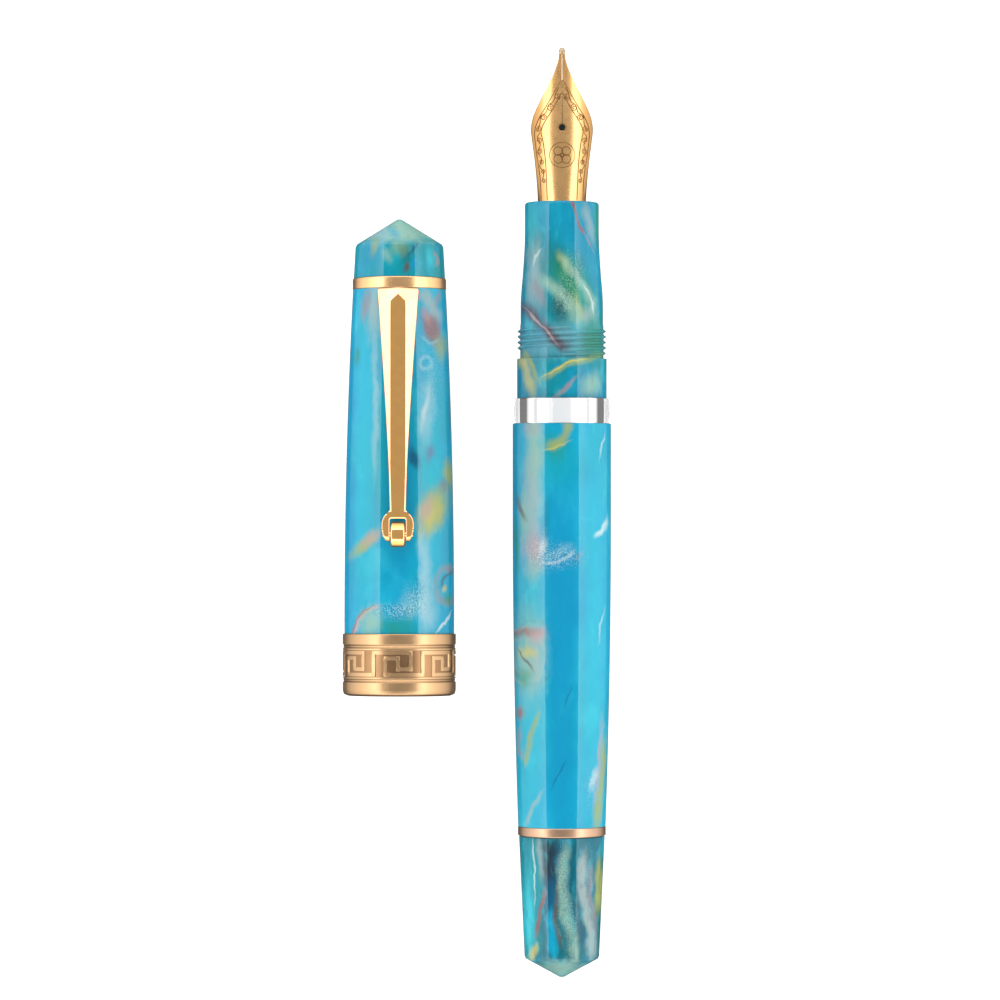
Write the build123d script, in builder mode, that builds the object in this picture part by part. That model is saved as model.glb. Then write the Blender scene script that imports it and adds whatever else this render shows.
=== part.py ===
from build123d import *

import os
from math import cos, degrees, radians, sin

# A piston-filling fountain pen with its screw cap lying beside it, both on a table.
# The row's X axis runs along the pen towards the nib, Y goes across the table and Z up.
# Pen stations are measured from the tail tip towards the nib, cap stations from the
# mouth towards the finial. All values are in millimetres and degrees.

os.makedirs("parts", exist_ok=True)

# Overall layout
PEN_LENGTH = 133.3
AXIS_SPACING = 23.3
BARREL_R = 7.05
BAND_R = 8.1
CAP_TILT = 1.172  # the cap rests on its band and on the swell of its tube
MOUTH_X = -26.2

# Pen stations
CONE_END = 2.9
KNOB_END = 20.0
RING_START = 20.1
BARREL_START = 21.7
BARREL_SWELL = 66.0
WINDOW_START = 79.4
WINDOW_END = 83.0
THREAD_START = 88.7
THREAD_END = 93.3
GRIP_END = 111.1

# Pen radii
KNOB_TAIL_R = 5.35
KNOB_R = 6.13
RING_R = 6.36
BARREL_TAIL_R = 6.27
WINDOW_R = 6.88
SHOULDER_R = 6.42
THREAD_ROOT_R = 5.98
THREAD_CREST_R = 6.36
GRIP_R = 5.3
GRIP_FLARE_R = 5.91

# Screw threads of the cap joint
THREAD_SPACING = 0.8
THREAD_STARTS = 2
THREAD_LEAD = THREAD_SPACING * THREAD_STARTS

# Ink chamber and filling mechanism
CHAMBER_R = 4.05
CHAMBER_WALL_R = 5.6
CHAMBER_START = 29.6
CHAMBER_END = 87.9
SPIGOT_R = 5.4
SLEEVE_START = 15.0
SLEEVE_R = 4.65
SLEEVE_NOSE_R = 3.95
SLEEVE_END = 52.0
WEB_START = 18.5
WEB_END = 21.0
SPINDLE_R = 1.6
SPINDLE_END = 54.5
HUB_R = 4.0
PLUNGER_START = 22.2
PLUNGER_R = 2.58
PLUNGER_FLAT = 2.12
HEAD_START = 52.6
HEAD_END = 58.4
HEAD_R = 3.9
SEAL_R = 4.02
RUNNING_GAP = 0.05

# Nib unit
SHEET = 0.35
NIB_START = 98.3
NIB_TIP = 132.55
NIB_BASE_R = 3.4
SHOULDER_STATION = 121.6
SHOULDER_HALF = 4.46
SLIT = 0.09
BREATHER_STATION = 121.9
BREATHER_R = 0.52
FEED_R = NIB_BASE_R - SHEET
FEED_NIPPLE_R = 1.8
FEED_END = 128.6
HOUSING_R = 4.08
HOUSING_START = 94.45
HOUSING_END = 110.85

# Cap stations
BAND_END = 8.85
THROAT = 10.5
LINER_START = 28.2
LINER_END = 53.6
TUBE_TOP = 58.1
CLIP_RING_END = 59.7
FINIAL_CORNER = 64.5
FINIAL_TIP = 68.3

# Cap radii
TUBE_R = 7.85
TUBE_SWELL_R = 7.59
TUBE_TOP_R = 6.66
CLIP_RING_R = 6.7
FINIAL_R = 6.56
FINIAL_CORNER_R = 6.28
MOUTH_R = 6.52
THROAT_R = 6.1
LINER_R = 5.6
LINER_BORE_R = 4.95
STUD_R = 2.0
STUD_HEAD_R = 3.4
BAND_SEAT_R = 7.25

# Clip
WASHER_R = 4.7
WASHER_START = 57.45
TONGUE_HALF = 2.2
TONGUE_START = 57.5
TONGUE_END = 57.9
PIVOT_STATION = 57.7
PIVOT_H = 7.8
PIVOT_R = 0.4
ARM_TOP = 58.3
ARM_HALF = 3.0
ARM_SHEET = 1.15
EDGE_DROP = 0.45
RIDGE_HALF = 1.05
RIDGE_TOP_H = 9.4
RIDGE_END_H = 10.2
BEND_STATION = 56.3
BLADE_END = 25.4
FORK_SLOT_HALF = 1.22
FORK_SLOT_END = 25.1
EYE_R = 1.0
ROLLER_STATION = 22.95
ROLLER_R = 1.77
ROLLER_HALF = 1.05
ROLLER_H = 9.63
AXLE_R = 0.35
AXLE_HALF = 2.12

# Greek key band: one repeat is eight columns wide and four rows high
KEY_COUNT = 7
KEY_LOW = 2.85
KEY_ROW = 0.8
KEY_LINE = 0.42
KEY_FLOOR_R = 7.88
KEY_TOP_R = 8.06

PEN_Y = (BARREL_R - BAND_R - AXIS_SPACING) / 2
CAP_Y = PEN_Y + AXIS_SPACING
TILT = radians(CAP_TILT)
MOUTH_Z = BAND_END * sin(TILT) + BAND_R * cos(TILT)

# In both planes X is the station, Y is sideways and Z is the height above the axis.
PEN = Plane(origin=(-PEN_LENGTH / 2, PEN_Y, BARREL_R))
CAP = Plane(
    origin=(MOUTH_X, CAP_Y, MOUTH_Z),
    x_dir=(cos(TILT), 0, -sin(TILT)),
    z_dir=(sin(TILT), 0, cos(TILT)),
)


def axis_of(frame):
    """The long axis of the pen or the cap."""
    return Axis(frame.origin, frame.x_dir)


def across(frame, station, height=0.0):
    """A plane square to the axis: X is sideways, Y is up."""
    origin = frame.from_local_coords((station, 0, height))
    return Plane(origin=origin, x_dir=frame.y_dir, z_dir=frame.x_dir)


def upright(frame):
    """The plane of the axis and the height: X is the station, Y is up."""
    return Plane(origin=frame.origin, x_dir=frame.x_dir, z_dir=-frame.y_dir)


def turn(frame, *points, mode=Mode.ADD):
    """Turns a closed outline of (station, radius) points about the axis."""
    with BuildSketch(frame) as outline:
        with BuildLine():
            Polyline(*points, close=True)
        make_face()
    revolve(outline.sketch, axis=axis_of(frame), mode=mode)


def tube(frame, start, end, inner, outer, mode=Mode.ADD):
    """A plain turned ring; an inner radius of 0 makes it solid."""
    corners = [(start, inner), (end, inner), (end, outer), (start, outer)]
    turn(frame, *corners, mode=mode)


def o_ring(frame, station, ring_r, cord_r):
    """A round-section sealing ring."""
    with BuildSketch(frame) as section:
        with Locations((station, ring_r)):
            Circle(cord_r)
    revolve(section.sketch, axis=axis_of(frame))


def thread_ridge(frame, start, end, base_r, crest_r):
    """The solid ridges of a screw thread, one for each start."""
    depth = crest_r - base_r
    half = THREAD_SPACING * 0.42
    ridges = []
    for index in range(THREAD_STARTS):
        first = start + index * THREAD_SPACING
        centre = frame.from_local_coords((first, 0, 0))
        helix = Edge.make_helix(
            THREAD_LEAD, end - first, base_r, centre, frame.x_dir
        )
        outward = (helix @ 0) - centre
        with BuildSketch(Plane(helix @ 0, x_dir=outward, z_dir=helix % 0)) as tooth:
            with BuildLine():
                Polyline(
                    (-0.1, -half),
                    (depth, -half * 0.22),
                    (depth, half * 0.22),
                    (-0.1, half),
                    close=True,
                )
            make_face()
        ridges.append(sweep(tooth.sketch, path=helix, is_frenet=True, mode=Mode.PRIVATE))
    return ridges


# Pen: outer pieces

with BuildPart() as piston_knob:
    turn(
        PEN,
        (0, 0),
        (0.12, 0.55),
        (CONE_END - 0.25, KNOB_TAIL_R - 0.14),
        (CONE_END + 0.25, KNOB_TAIL_R),
        (KNOB_END, KNOB_R),
        (KNOB_END, SLEEVE_R + RUNNING_GAP),
        (14.4, SLEEVE_R + RUNNING_GAP),
        (14.4, HUB_R),
        (7.5, HUB_R),
        (7.5, 0),
    )

with BuildPart() as barrel_ring:
    with BuildSketch(PEN) as ring_section:
        with Locations(((RING_START + BARREL_START) / 2, (SLEEVE_R + RING_R) / 2)):
            RectangleRounded(BARREL_START - RING_START, RING_R - SLEEVE_R, 0.25)
    revolve(axis=axis_of(PEN))

with BuildPart() as barrel:
    with BuildSketch(PEN) as barrel_section:
        with BuildLine():
            TangentArc((BARREL_SWELL, BARREL_R), (BARREL_START, BARREL_TAIL_R), tangent=(-1, 0))
            Polyline(
                (BARREL_START, BARREL_TAIL_R),
                (BARREL_START, SLEEVE_R),
                (CHAMBER_START, SLEEVE_R),
                (CHAMBER_START, CHAMBER_WALL_R),
                (WINDOW_START, CHAMBER_WALL_R),
                (WINDOW_START, BARREL_R),
                (BARREL_SWELL, BARREL_R),
            )
        make_face()
    revolve(axis=axis_of(PEN))

with BuildPart() as ink_chamber:
    turn(
        PEN,
        (CHAMBER_START, CHAMBER_R),
        (CHAMBER_END, CHAMBER_R),
        (CHAMBER_END, SPIGOT_R),
        (WINDOW_END, SPIGOT_R),
        (WINDOW_END, WINDOW_R - 0.12),
        (WINDOW_END - 0.12, WINDOW_R),
        (WINDOW_START + 0.12, WINDOW_R),
        (WINDOW_START, WINDOW_R - 0.12),
        (WINDOW_START, CHAMBER_WALL_R),
        (CHAMBER_START, CHAMBER_WALL_R),
    )

with BuildPart() as grip_section:
    with BuildSketch(PEN) as grip_outline:
        with BuildLine():
            Polyline(
                (GRIP_END - 0.35, GRIP_R),
                (GRIP_END, GRIP_R - 0.35),
                (GRIP_END, HOUSING_R),
                (93.5, HOUSING_R),
                (93.5, 2.2),
                (88.6, 2.2),
                (88.6, SPIGOT_R),
                (WINDOW_END, SPIGOT_R),
                (WINDOW_END, SHOULDER_R),
                (THREAD_START, SHOULDER_R),
                (THREAD_START, THREAD_ROOT_R),
                (THREAD_END, THREAD_ROOT_R),
                (THREAD_END, GRIP_FLARE_R),
            )
            Spline(
                (THREAD_END, GRIP_FLARE_R),
                (97.4, 5.87),
                (101.2, 5.57),
                (105.4, 5.33),
                (GRIP_END - 0.35, GRIP_R),
                tangents=[(1, 0), (1, 0)],
            )
        make_face()
    revolve(axis=axis_of(PEN))
    for ridge in thread_ridge(PEN, THREAD_START, THREAD_END - 0.5, THREAD_ROOT_R, THREAD_CREST_R):
        add(ridge)

# Pen: filling mechanism

with BuildPart() as piston_sleeve:
    turn(
        PEN,
        (SLEEVE_START, 3.0),
        (WEB_START, 3.0),
        (WEB_START, SPINDLE_R + RUNNING_GAP),
        (WEB_END, SPINDLE_R + RUNNING_GAP),
        (WEB_END, 2.0),
        (SLEEVE_END, 2.0),
        (SLEEVE_END, SLEEVE_NOSE_R),
        (32.4, SLEEVE_NOSE_R),
        (32.4, 3.3),
        (31.3, 3.3),
        (31.3, SLEEVE_NOSE_R),
        (CHAMBER_START, SLEEVE_NOSE_R),
        (CHAMBER_START, SLEEVE_R),
        (SLEEVE_START, SLEEVE_R),
    )
    # The keyed bore: round, with two flats that stop the plunger from turning.
    with BuildSketch(across(PEN, WEB_END)) as keyed_bore:
        Circle(PLUNGER_R + RUNNING_GAP)
        Rectangle(2 * (PLUNGER_FLAT + RUNNING_GAP), 4 * PLUNGER_R, mode=Mode.INTERSECT)
    extrude(amount=SLEEVE_END - WEB_END, mode=Mode.SUBTRACT)

with BuildPart() as sleeve_o_ring:
    o_ring(PEN, 31.85, 3.67, 0.37)

with BuildPart() as drive_spindle:
    turn(
        PEN,
        (7.5, 0),
        (SPINDLE_END, 0),
        (SPINDLE_END, SPINDLE_R - 0.3),
        (SPINDLE_END - 0.3, SPINDLE_R),
        (21.6, SPINDLE_R),
        (21.6, 1.25),
        (21.1, 1.25),
        (21.1, SPINDLE_R),
        (WEB_START - 0.05, SPINDLE_R),
        (WEB_START - 0.05, 2.7),
        (14.4, 2.7),
        (14.4, HUB_R),
        (7.5, HUB_R),
    )

with BuildPart() as spindle_clip:
    with BuildSketch(across(PEN, 21.15)) as clip_shape:
        Circle(2.0)
        Circle(1.25, mode=Mode.SUBTRACT)
        with Locations((0, -1.7)):
            Rectangle(1.5, 2.0, mode=Mode.SUBTRACT)
    extrude(amount=0.4)

with BuildPart() as plunger_tube:
    with BuildSketch(across(PEN, PLUNGER_START)) as plunger_shape:
        Circle(PLUNGER_R)
        Rectangle(2 * PLUNGER_FLAT, 4 * PLUNGER_R, mode=Mode.INTERSECT)
        Circle(SPINDLE_R + RUNNING_GAP, mode=Mode.SUBTRACT)
    extrude(amount=HEAD_START - PLUNGER_START)

with BuildPart() as piston_head:
    turn(
        PEN,
        (HEAD_START, SPINDLE_R + RUNNING_GAP),
        (HEAD_START + 2.6, SPINDLE_R + RUNNING_GAP),
        (HEAD_START + 3.4, 0),
        (HEAD_END, 0),
        (HEAD_END, HEAD_R - 0.9),
        (HEAD_END - 0.5, HEAD_R),
        (HEAD_END - 1.0, HEAD_R),
        (HEAD_END - 1.0, 3.2),
        (HEAD_END - 2.0, 3.2),
        (HEAD_END - 2.0, HEAD_R),
        (HEAD_START + 2.0, HEAD_R),
        (HEAD_START + 2.0, 3.2),
        (HEAD_START + 1.0, 3.2),
        (HEAD_START + 1.0, HEAD_R),
        (HEAD_START, HEAD_R),
    )


def seal_ring(start):
    """A rubber ring that fills one of the head's grooves."""
    end = start + 1.0
    bottom, top = 3.2, SEAL_R
    corners = [(start + 0.2, top), (end - 0.2, top), (end, top - 0.2), (start, top - 0.2)]
    turn(PEN, (start, bottom), (end, bottom), corners[2], corners[1], corners[0], corners[3])


with BuildPart() as piston_rear_seal:
    seal_ring(HEAD_START + 1.0)

with BuildPart() as piston_front_seal:
    seal_ring(HEAD_END - 2.0)

# Pen: nib unit

# The nib's sheet at four stations: (station, height of the arc's centre, radius, half angle).
NIB_ARCS = [
    (111.0, 0.0, NIB_BASE_R, 88),
    (SHOULDER_STATION, -1.9, 5.2, 66),
    (127.5, -2.05, 4.6, 50),
    (133.4, -2.25, 3.6, 30),
]


def sheet_section(station, centre_h, outer_r, half_angle):
    """One curved section of the nib's sheet."""
    first = 90 - half_angle
    with BuildSketch(across(PEN, station)) as section:
        with BuildLine():
            outer = CenterArc((0, centre_h), outer_r, first, 2 * half_angle)
            inner = CenterArc((0, centre_h), outer_r - SHEET, first, 2 * half_angle)
            Line(outer @ 0, inner @ 0)
            Line(outer @ 1, inner @ 1)
        make_face()
    return section.sketch


with BuildPart() as nib:
    loft([sheet_section(*arc) for arc in NIB_ARCS])
    tail = sheet_section(NIB_START, *NIB_ARCS[0][1:])
    extrude(tail, amount=NIB_ARCS[0][0] - NIB_START)
    with BuildSketch(PEN.offset(-1)) as nib_outline:
        with BuildLine():
            Polyline((NIB_TIP, 0), (NIB_START, 0), (NIB_START, 3.6), (111.0, 3.45))
            Spline(
                (111.0, 3.45),
                (116.4, 3.86),
                (119.9, 4.3),
                (SHOULDER_STATION, SHOULDER_HALF),
                (123.3, 4.17),
                (125.4, 3.25),
                (128.2, 1.8),
                (130.4, 0.86),
                (131.8, 0.47),
            )
            Polyline((131.8, 0.47), (NIB_TIP, 0.45), (NIB_TIP, 0))
        make_face()
        mirror(about=Plane.XZ)
    extrude(amount=8, mode=Mode.INTERSECT)
    with BuildSketch(PEN.offset(-1)) as nib_cuts:
        with Locations((BREATHER_STATION, 0)):
            Circle(BREATHER_R)
        with Locations(((BREATHER_STATION + PEN_LENGTH) / 2, 0)):
            Rectangle(PEN_LENGTH - BREATHER_STATION, SLIT)
    extrude(amount=8, mode=Mode.SUBTRACT)

with BuildPart() as nib_tipping:
    with Locations(PEN.from_local_coords((132.82, 0, 1.14))):
        Sphere(0.48)
    split(bisect_by=across(PEN, NIB_TIP), keep=Keep.TOP)
    with BuildSketch(PEN.offset(1.0)) as tip_cut:
        with Locations((NIB_TIP, 0)):
            Rectangle(4, SLIT)
    extrude(amount=4, mode=Mode.SUBTRACT)

# Rounds that follow the underside of the nib, to shape the top of the feed.
under_nib = []
for station, centre_h, outer_r, _ in NIB_ARCS:
    with BuildSketch(across(PEN, station)) as under:
        with Locations((0, centre_h)):
            Circle(outer_r - SHEET - 0.06)
    under_nib.append(under.sketch)

with BuildPart() as feed:
    with BuildSketch(upright(PEN)) as feed_side:
        with BuildLine():
            Polyline((117.5, -FEED_R), (111.02, -FEED_R), (111.02, 3.3), (FEED_END, 3.3))
            Line((FEED_END, 3.3), (FEED_END, 1.45))
            Spline((FEED_END, 1.45), (123.0, -1.2), (117.5, -FEED_R))
        make_face()
    extrude(amount=FEED_R + 1, both=True)
    with BuildSketch(PEN.offset(-4)) as feed_top:
        with BuildLine():
            Polyline((FEED_END, 0.5), (FEED_END, 0), (110.5, 0), (110.5, FEED_R), (117.0, FEED_R))
            Spline((117.0, FEED_R), (124.0, 2.05), (FEED_END, 0.5))
        make_face()
        mirror(about=Plane.XZ)
    extrude(amount=8, mode=Mode.INTERSECT)
    loft(under_nib, mode=Mode.INTERSECT)
    tube(PEN, 95.5, 111.05, 0, FEED_R)
    tube(PEN, 89.0, 95.5, 0, FEED_NIPPLE_R)
    # Fins that hold spare ink, and the ink channel along the top.
    for fin in range(15):
        with BuildSketch(upright(PEN)) as fin_gap:
            with Locations((111.9 + 0.78 * fin, -2.6)):
                Rectangle(0.36, 3.6)
        extrude(amount=4, both=True, mode=Mode.SUBTRACT)
    with BuildSketch(across(PEN, 89.0)) as channel:
        with Locations((0, 3.0)):
            Rectangle(0.7, 2.9)
    extrude(amount=FEED_END - 89.0, mode=Mode.SUBTRACT)

with BuildPart() as nib_housing:
    turn(
        PEN,
        (HOUSING_START, FEED_NIPPLE_R),
        (95.5, FEED_NIPPLE_R),
        (95.5, NIB_BASE_R),
        (HOUSING_END, NIB_BASE_R),
        (HOUSING_END, HOUSING_R - 0.1),
        (HOUSING_END - 0.1, HOUSING_R),
        (HOUSING_START, HOUSING_R),
    )

with BuildPart() as nib_unit_o_ring:
    o_ring(PEN, (93.5 + HOUSING_START) / 2, 3.2, (HOUSING_START - 93.5) / 2)

with BuildPart() as section_o_ring:
    o_ring(PEN, (CHAMBER_END + 88.6) / 2, 4.8, (88.6 - CHAMBER_END) / 2)

# Cap

with BuildPart() as cap_tube:
    with BuildSketch(CAP) as tube_section:
        with BuildLine():
            ThreePointArc(
                (BAND_END, TUBE_R),
                ((BAND_END + TUBE_TOP) / 2, TUBE_SWELL_R),
                (TUBE_TOP, TUBE_TOP_R),
            )
            Polyline(
                (TUBE_TOP, TUBE_TOP_R),
                (TUBE_TOP, WASHER_R),
                (WASHER_START, WASHER_R),
                (WASHER_START, STUD_R),
                (LINER_END + 1.0, STUD_R),
                (LINER_END + 1.0, STUD_HEAD_R),
                (LINER_END, STUD_HEAD_R),
                (LINER_END, LINER_R),
                (LINER_START, LINER_R),
                (LINER_START, THROAT_R),
                (THROAT - 4.6, THROAT_R),
                (THROAT - 5.0, MOUTH_R),
                (0.75, MOUTH_R),
                (0.75, BAND_SEAT_R),
                (BAND_END, BAND_SEAT_R),
                (BAND_END, TUBE_R),
            )
        make_face()
    revolve(axis=axis_of(CAP))
    for ridge in thread_ridge(CAP, THROAT - 4.9, THROAT + 0.2, THROAT_R - 0.02, THREAD_CREST_R + 0.1):
        add(ridge, mode=Mode.SUBTRACT)
    # The notch that the clip's tongue passes through.
    with BuildSketch(across(CAP, WASHER_START)) as notch:
        with Locations((0, 6)):
            Rectangle(2 * TONGUE_HALF, 5)
    extrude(amount=0.7, mode=Mode.SUBTRACT)

with BuildPart() as cap_liner:
    turn(
        CAP,
        (LINER_START, LINER_BORE_R + 0.25),
        (LINER_START + 0.6, LINER_BORE_R),
        (LINER_END - 1.2, LINER_BORE_R),
        (LINER_END - 1.2, 0),
        (LINER_END, 0),
        (LINER_END, LINER_R),
        (LINER_START, LINER_R),
    )

# The raised line of the Greek key as (column, row) corners, from one upright to the next.
KEY_PATH = [(0, 0), (0, 4), (6, 4), (6, 1), (4, 1), (4, 3), (2, 3), (2, 0), (8, 0)]
KEY_STEP = 360 / (8 * KEY_COUNT)
KEY_LINE_ANGLE = degrees(KEY_LINE / KEY_TOP_R)


def key_bar(first, second):
    """One straight bar of the Greek key, wrapped round the band."""
    columns = sorted((first[0], second[0]))
    rows = sorted((first[1], second[1]))
    low = KEY_LOW + KEY_ROW * rows[0]
    high = KEY_LOW + KEY_ROW * rows[1] + KEY_LINE
    start = (columns[0] - 4) * KEY_STEP - KEY_LINE_ANGLE / 2
    size = (columns[1] - columns[0]) * KEY_STEP + KEY_LINE_ANGLE
    with BuildPart() as bar:
        with BuildSketch(upright(CAP)) as bar_section:
            with Locations(((low + high) / 2, (KEY_FLOOR_R - 0.1 + KEY_TOP_R) / 2)):
                Rectangle(high - low, KEY_TOP_R - KEY_FLOOR_R + 0.1)
        revolve(axis=axis_of(CAP), revolution_arc=size)
    return bar.part.rotate(axis_of(CAP), start)


# One repeat as a single solid, then its copies round the band.
key_unit = key_bar(*KEY_PATH[:2])
for first, second in zip(KEY_PATH[1:], KEY_PATH[2:]):
    key_unit += key_bar(first, second)
key_line = key_unit
for repeat in range(1, KEY_COUNT):
    key_line += key_unit.rotate(axis_of(CAP), repeat * 360 / KEY_COUNT)

with BuildPart() as cap_band:
    turn(
        CAP,
        (0, MOUTH_R),
        (0, BAND_R - 0.7),
        (0.22, BAND_R - 0.22),
        (0.75, BAND_R),
        (1.95, BAND_R),
        (2.08, BAND_R - 0.2),
        (2.25, BAND_R - 0.06),
        (2.42, BAND_R - 0.2),
        (2.5, KEY_TOP_R),
        (KEY_LOW - 0.1, KEY_TOP_R),
        (KEY_LOW - 0.1, KEY_FLOOR_R),
        (6.5, KEY_FLOOR_R),
        (6.5, KEY_TOP_R),
        (6.8, KEY_TOP_R),
        (6.9, BAND_R - 0.2),
        (7.07, BAND_R - 0.06),
        (7.24, BAND_R - 0.2),
        (7.37, BAND_R),
        (BAND_END - 0.1, BAND_R),
        (BAND_END, BAND_R - 0.1),
        (BAND_END, BAND_SEAT_R),
        (0.75, BAND_SEAT_R),
        (0.75, MOUTH_R),
    )
    add(key_line)

with BuildPart() as clip_ring:
    with BuildSketch(CAP) as clip_ring_section:
        with Locations(((TUBE_TOP + CLIP_RING_END) / 2, CLIP_RING_R - 1)):
            RectangleRounded(CLIP_RING_END - TUBE_TOP, 2, 0.25)
        with Locations(((TUBE_TOP + CLIP_RING_END) / 2, (STUD_R + CLIP_RING_R - 0.5) / 2)):
            Rectangle(CLIP_RING_END - TUBE_TOP, CLIP_RING_R - 0.5 - STUD_R)
    revolve(axis=axis_of(CAP))

with BuildPart() as finial:
    turn(
        CAP,
        (CLIP_RING_END, STUD_R),
        (63.6, STUD_R),
        (63.6, 0),
        (FINIAL_TIP, 0),
        (FINIAL_TIP - 0.1, 0.5),
        (FINIAL_CORNER + 0.3, FINIAL_CORNER_R - 0.22),
        (FINIAL_CORNER - 0.25, FINIAL_CORNER_R),
        (CLIP_RING_END, FINIAL_R),
    )

with BuildPart() as finial_stud:
    turn(
        CAP,
        (LINER_END, 0),
        (63.3, 0),
        (63.3, STUD_R - 0.3),
        (63.0, STUD_R),
        (LINER_END + 1.0, STUD_R),
        (LINER_END + 1.0, STUD_HEAD_R),
        (LINER_END, STUD_HEAD_R),
    )

# Clip

with BuildPart() as clip_washer:
    tube(CAP, WASHER_START, TUBE_TOP, STUD_R, WASHER_R)
    with BuildSketch(across(CAP, TONGUE_START)) as tongue:
        with Locations((0, (WASHER_R - 0.6 + PIVOT_H) / 2)):
            Rectangle(2 * TONGUE_HALF, PIVOT_H - WASHER_R + 0.6)
    extrude(amount=TONGUE_END - TONGUE_START)
    with BuildSketch(upright(CAP)) as bead:
        with Locations((PIVOT_STATION, PIVOT_H)):
            Circle(PIVOT_R)
    extrude(amount=TONGUE_HALF, both=True)


def ridge_height(station):
    """The height of the clip's front ridge above the cap's axis."""
    share = (BEND_STATION - station) / (BEND_STATION - BLADE_END)
    return RIDGE_TOP_H + share * (RIDGE_END_H - RIDGE_TOP_H)


def blade_section(station, half):
    """The clip's blade: flat behind, with a ridge and two bevels in front."""
    top = ridge_height(station)
    with BuildSketch(across(CAP, station)) as section:
        with BuildLine():
            Polyline(
                (-half, top - ARM_SHEET),
                (half, top - ARM_SHEET),
                (half, top - EDGE_DROP),
                (RIDGE_HALF, top),
                (-RIDGE_HALF, top),
                (-half, top - EDGE_DROP),
                close=True,
            )
        make_face()
    return section.sketch


# The blade's half widths, from the bend down to the fork.
BLADE_HALVES = [(BEND_STATION, 2.8), (50.0, 2.35), (42.3, 1.83), (32.3, 1.28), (BLADE_END, 1.1)]

# The fork: two prongs with round eyes that carry the roller.
with BuildPart() as fork:
    with BuildSketch(CAP) as fork_outline:
        with BuildLine():
            Polyline((22.0, 0), (26.3, 0), (26.3, 1.1))
            Spline(
                (26.3, 1.1),
                (25.4, 1.5),
                (24.1, 2.26),
                (22.9, 2.15),
                (22.0, 1.6),
                tangents=[(-1, 0.1), (-0.6, -1)],
            )
            Line((22.0, 1.6), (22.0, 0))
        make_face()
        mirror(about=Plane.XZ)
    extrude(amount=12)
    with BuildSketch(upright(CAP)) as fork_side:
        with Locations((ROLLER_STATION, ROLLER_H)):
            Circle(EYE_R)
        with BuildLine():
            Polyline(
                (26.3, ridge_height(26.3)),
                (26.3, ridge_height(26.3) - ARM_SHEET),
                (ROLLER_STATION, ROLLER_H - EYE_R),
                (ROLLER_STATION, ROLLER_H + EYE_R),
                close=True,
            )
        make_face()
    extrude(amount=4, both=True, mode=Mode.INTERSECT)
    with BuildSketch(CAP) as fork_slot:
        with Locations(((FORK_SLOT_END + 20) / 2, 0)):
            Rectangle(FORK_SLOT_END - 20, 2 * FORK_SLOT_HALF)
    extrude(amount=12, mode=Mode.SUBTRACT)

with BuildPart() as clip_arm:
    loft([blade_section(*pair) for pair in BLADE_HALVES], ruled=True)
    # The bend over the top, with the foot that holds the pivot.
    with BuildSketch(upright(CAP)) as bend:
        with BuildLine():
            front = RIDGE_TOP_H - EDGE_DROP
            Line((BEND_STATION, front), (ARM_TOP - 1.4, front))
            TangentArc((ARM_TOP - 1.4, front), (ARM_TOP, front - 1.4), tangent=(1, 0))
            Polyline(
                (ARM_TOP, front - 1.4),
                (ARM_TOP, 7.2),
                (56.95, 7.2),
                (56.95, 7.9),
                (BEND_STATION, RIDGE_TOP_H - ARM_SHEET),
                (BEND_STATION, front),
            )
        make_face()
    extrude(amount=ARM_HALF - 0.1, both=True)
    # The pointed upper end of the ridge.
    with BuildSketch(CAP.offset(RIDGE_TOP_H - EDGE_DROP - 0.1)) as gable:
        with BuildLine():
            Polyline(
                (BEND_STATION, -RIDGE_HALF),
                (57.2, 0),
                (BEND_STATION, RIDGE_HALF),
                close=True,
            )
        make_face()
    extrude(amount=EDGE_DROP + 0.1)
    add(fork.part)
    with BuildSketch(upright(CAP)) as axle_hole:
        with Locations((ROLLER_STATION, ROLLER_H)):
            Circle(AXLE_R)
    extrude(amount=4, both=True, mode=Mode.SUBTRACT)
    # The pivot's socket and the slot for the tongue.
    with BuildSketch(upright(CAP)) as socket:
        with Locations((PIVOT_STATION, PIVOT_H)):
            Circle(PIVOT_R + 0.03)
        with Locations((PIVOT_STATION, PIVOT_H - 0.5)):
            Rectangle(TONGUE_END - TONGUE_START + 0.12, 1.0)
    extrude(amount=TONGUE_HALF + 0.03, both=True, mode=Mode.SUBTRACT)

with BuildPart() as roller_axle:
    with BuildSketch(upright(CAP)) as axle_shape:
        with Locations((ROLLER_STATION, ROLLER_H)):
            Circle(AXLE_R)
    extrude(amount=AXLE_HALF, both=True)

with BuildPart() as clip_roller:
    with BuildSketch(upright(CAP)) as roller_shape:
        with Locations((ROLLER_STATION, ROLLER_H)):
            Circle(ROLLER_R)
    extrude(amount=ROLLER_HALF, both=True)
    rims = edges().filter_by(GeomType.CIRCLE)
    fillet(rims, 0.18)
    with BuildSketch(upright(CAP)) as roller_bore:
        with Locations((ROLLER_STATION, ROLLER_H)):
            Circle(AXLE_R + 0.03)
    extrude(amount=2, both=True, mode=Mode.SUBTRACT)

# Save every piece

piston_knob.part.label = "piston_knob"
drive_spindle.part.label = "drive_spindle"
spindle_clip.part.label = "spindle_clip"
barrel_ring.part.label = "barrel_ring"
barrel.part.label = "barrel"
ink_chamber.part.label = "ink_chamber"
grip_section.part.label = "grip_section"
piston_sleeve.part.label = "piston_sleeve"
sleeve_o_ring.part.label = "sleeve_o_ring"
plunger_tube.part.label = "plunger_tube"
piston_head.part.label = "piston_head"
piston_rear_seal.part.label = "piston_rear_seal"
piston_front_seal.part.label = "piston_front_seal"
nib.part.label = "nib"
nib_tipping.part.label = "nib_tipping"
feed.part.label = "feed"
nib_housing.part.label = "nib_housing"
nib_unit_o_ring.part.label = "nib_unit_o_ring"
section_o_ring.part.label = "section_o_ring"
cap_tube.part.label = "cap_tube"
cap_liner.part.label = "cap_liner"
cap_band.part.label = "cap_band"
clip_ring.part.label = "clip_ring"
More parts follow.
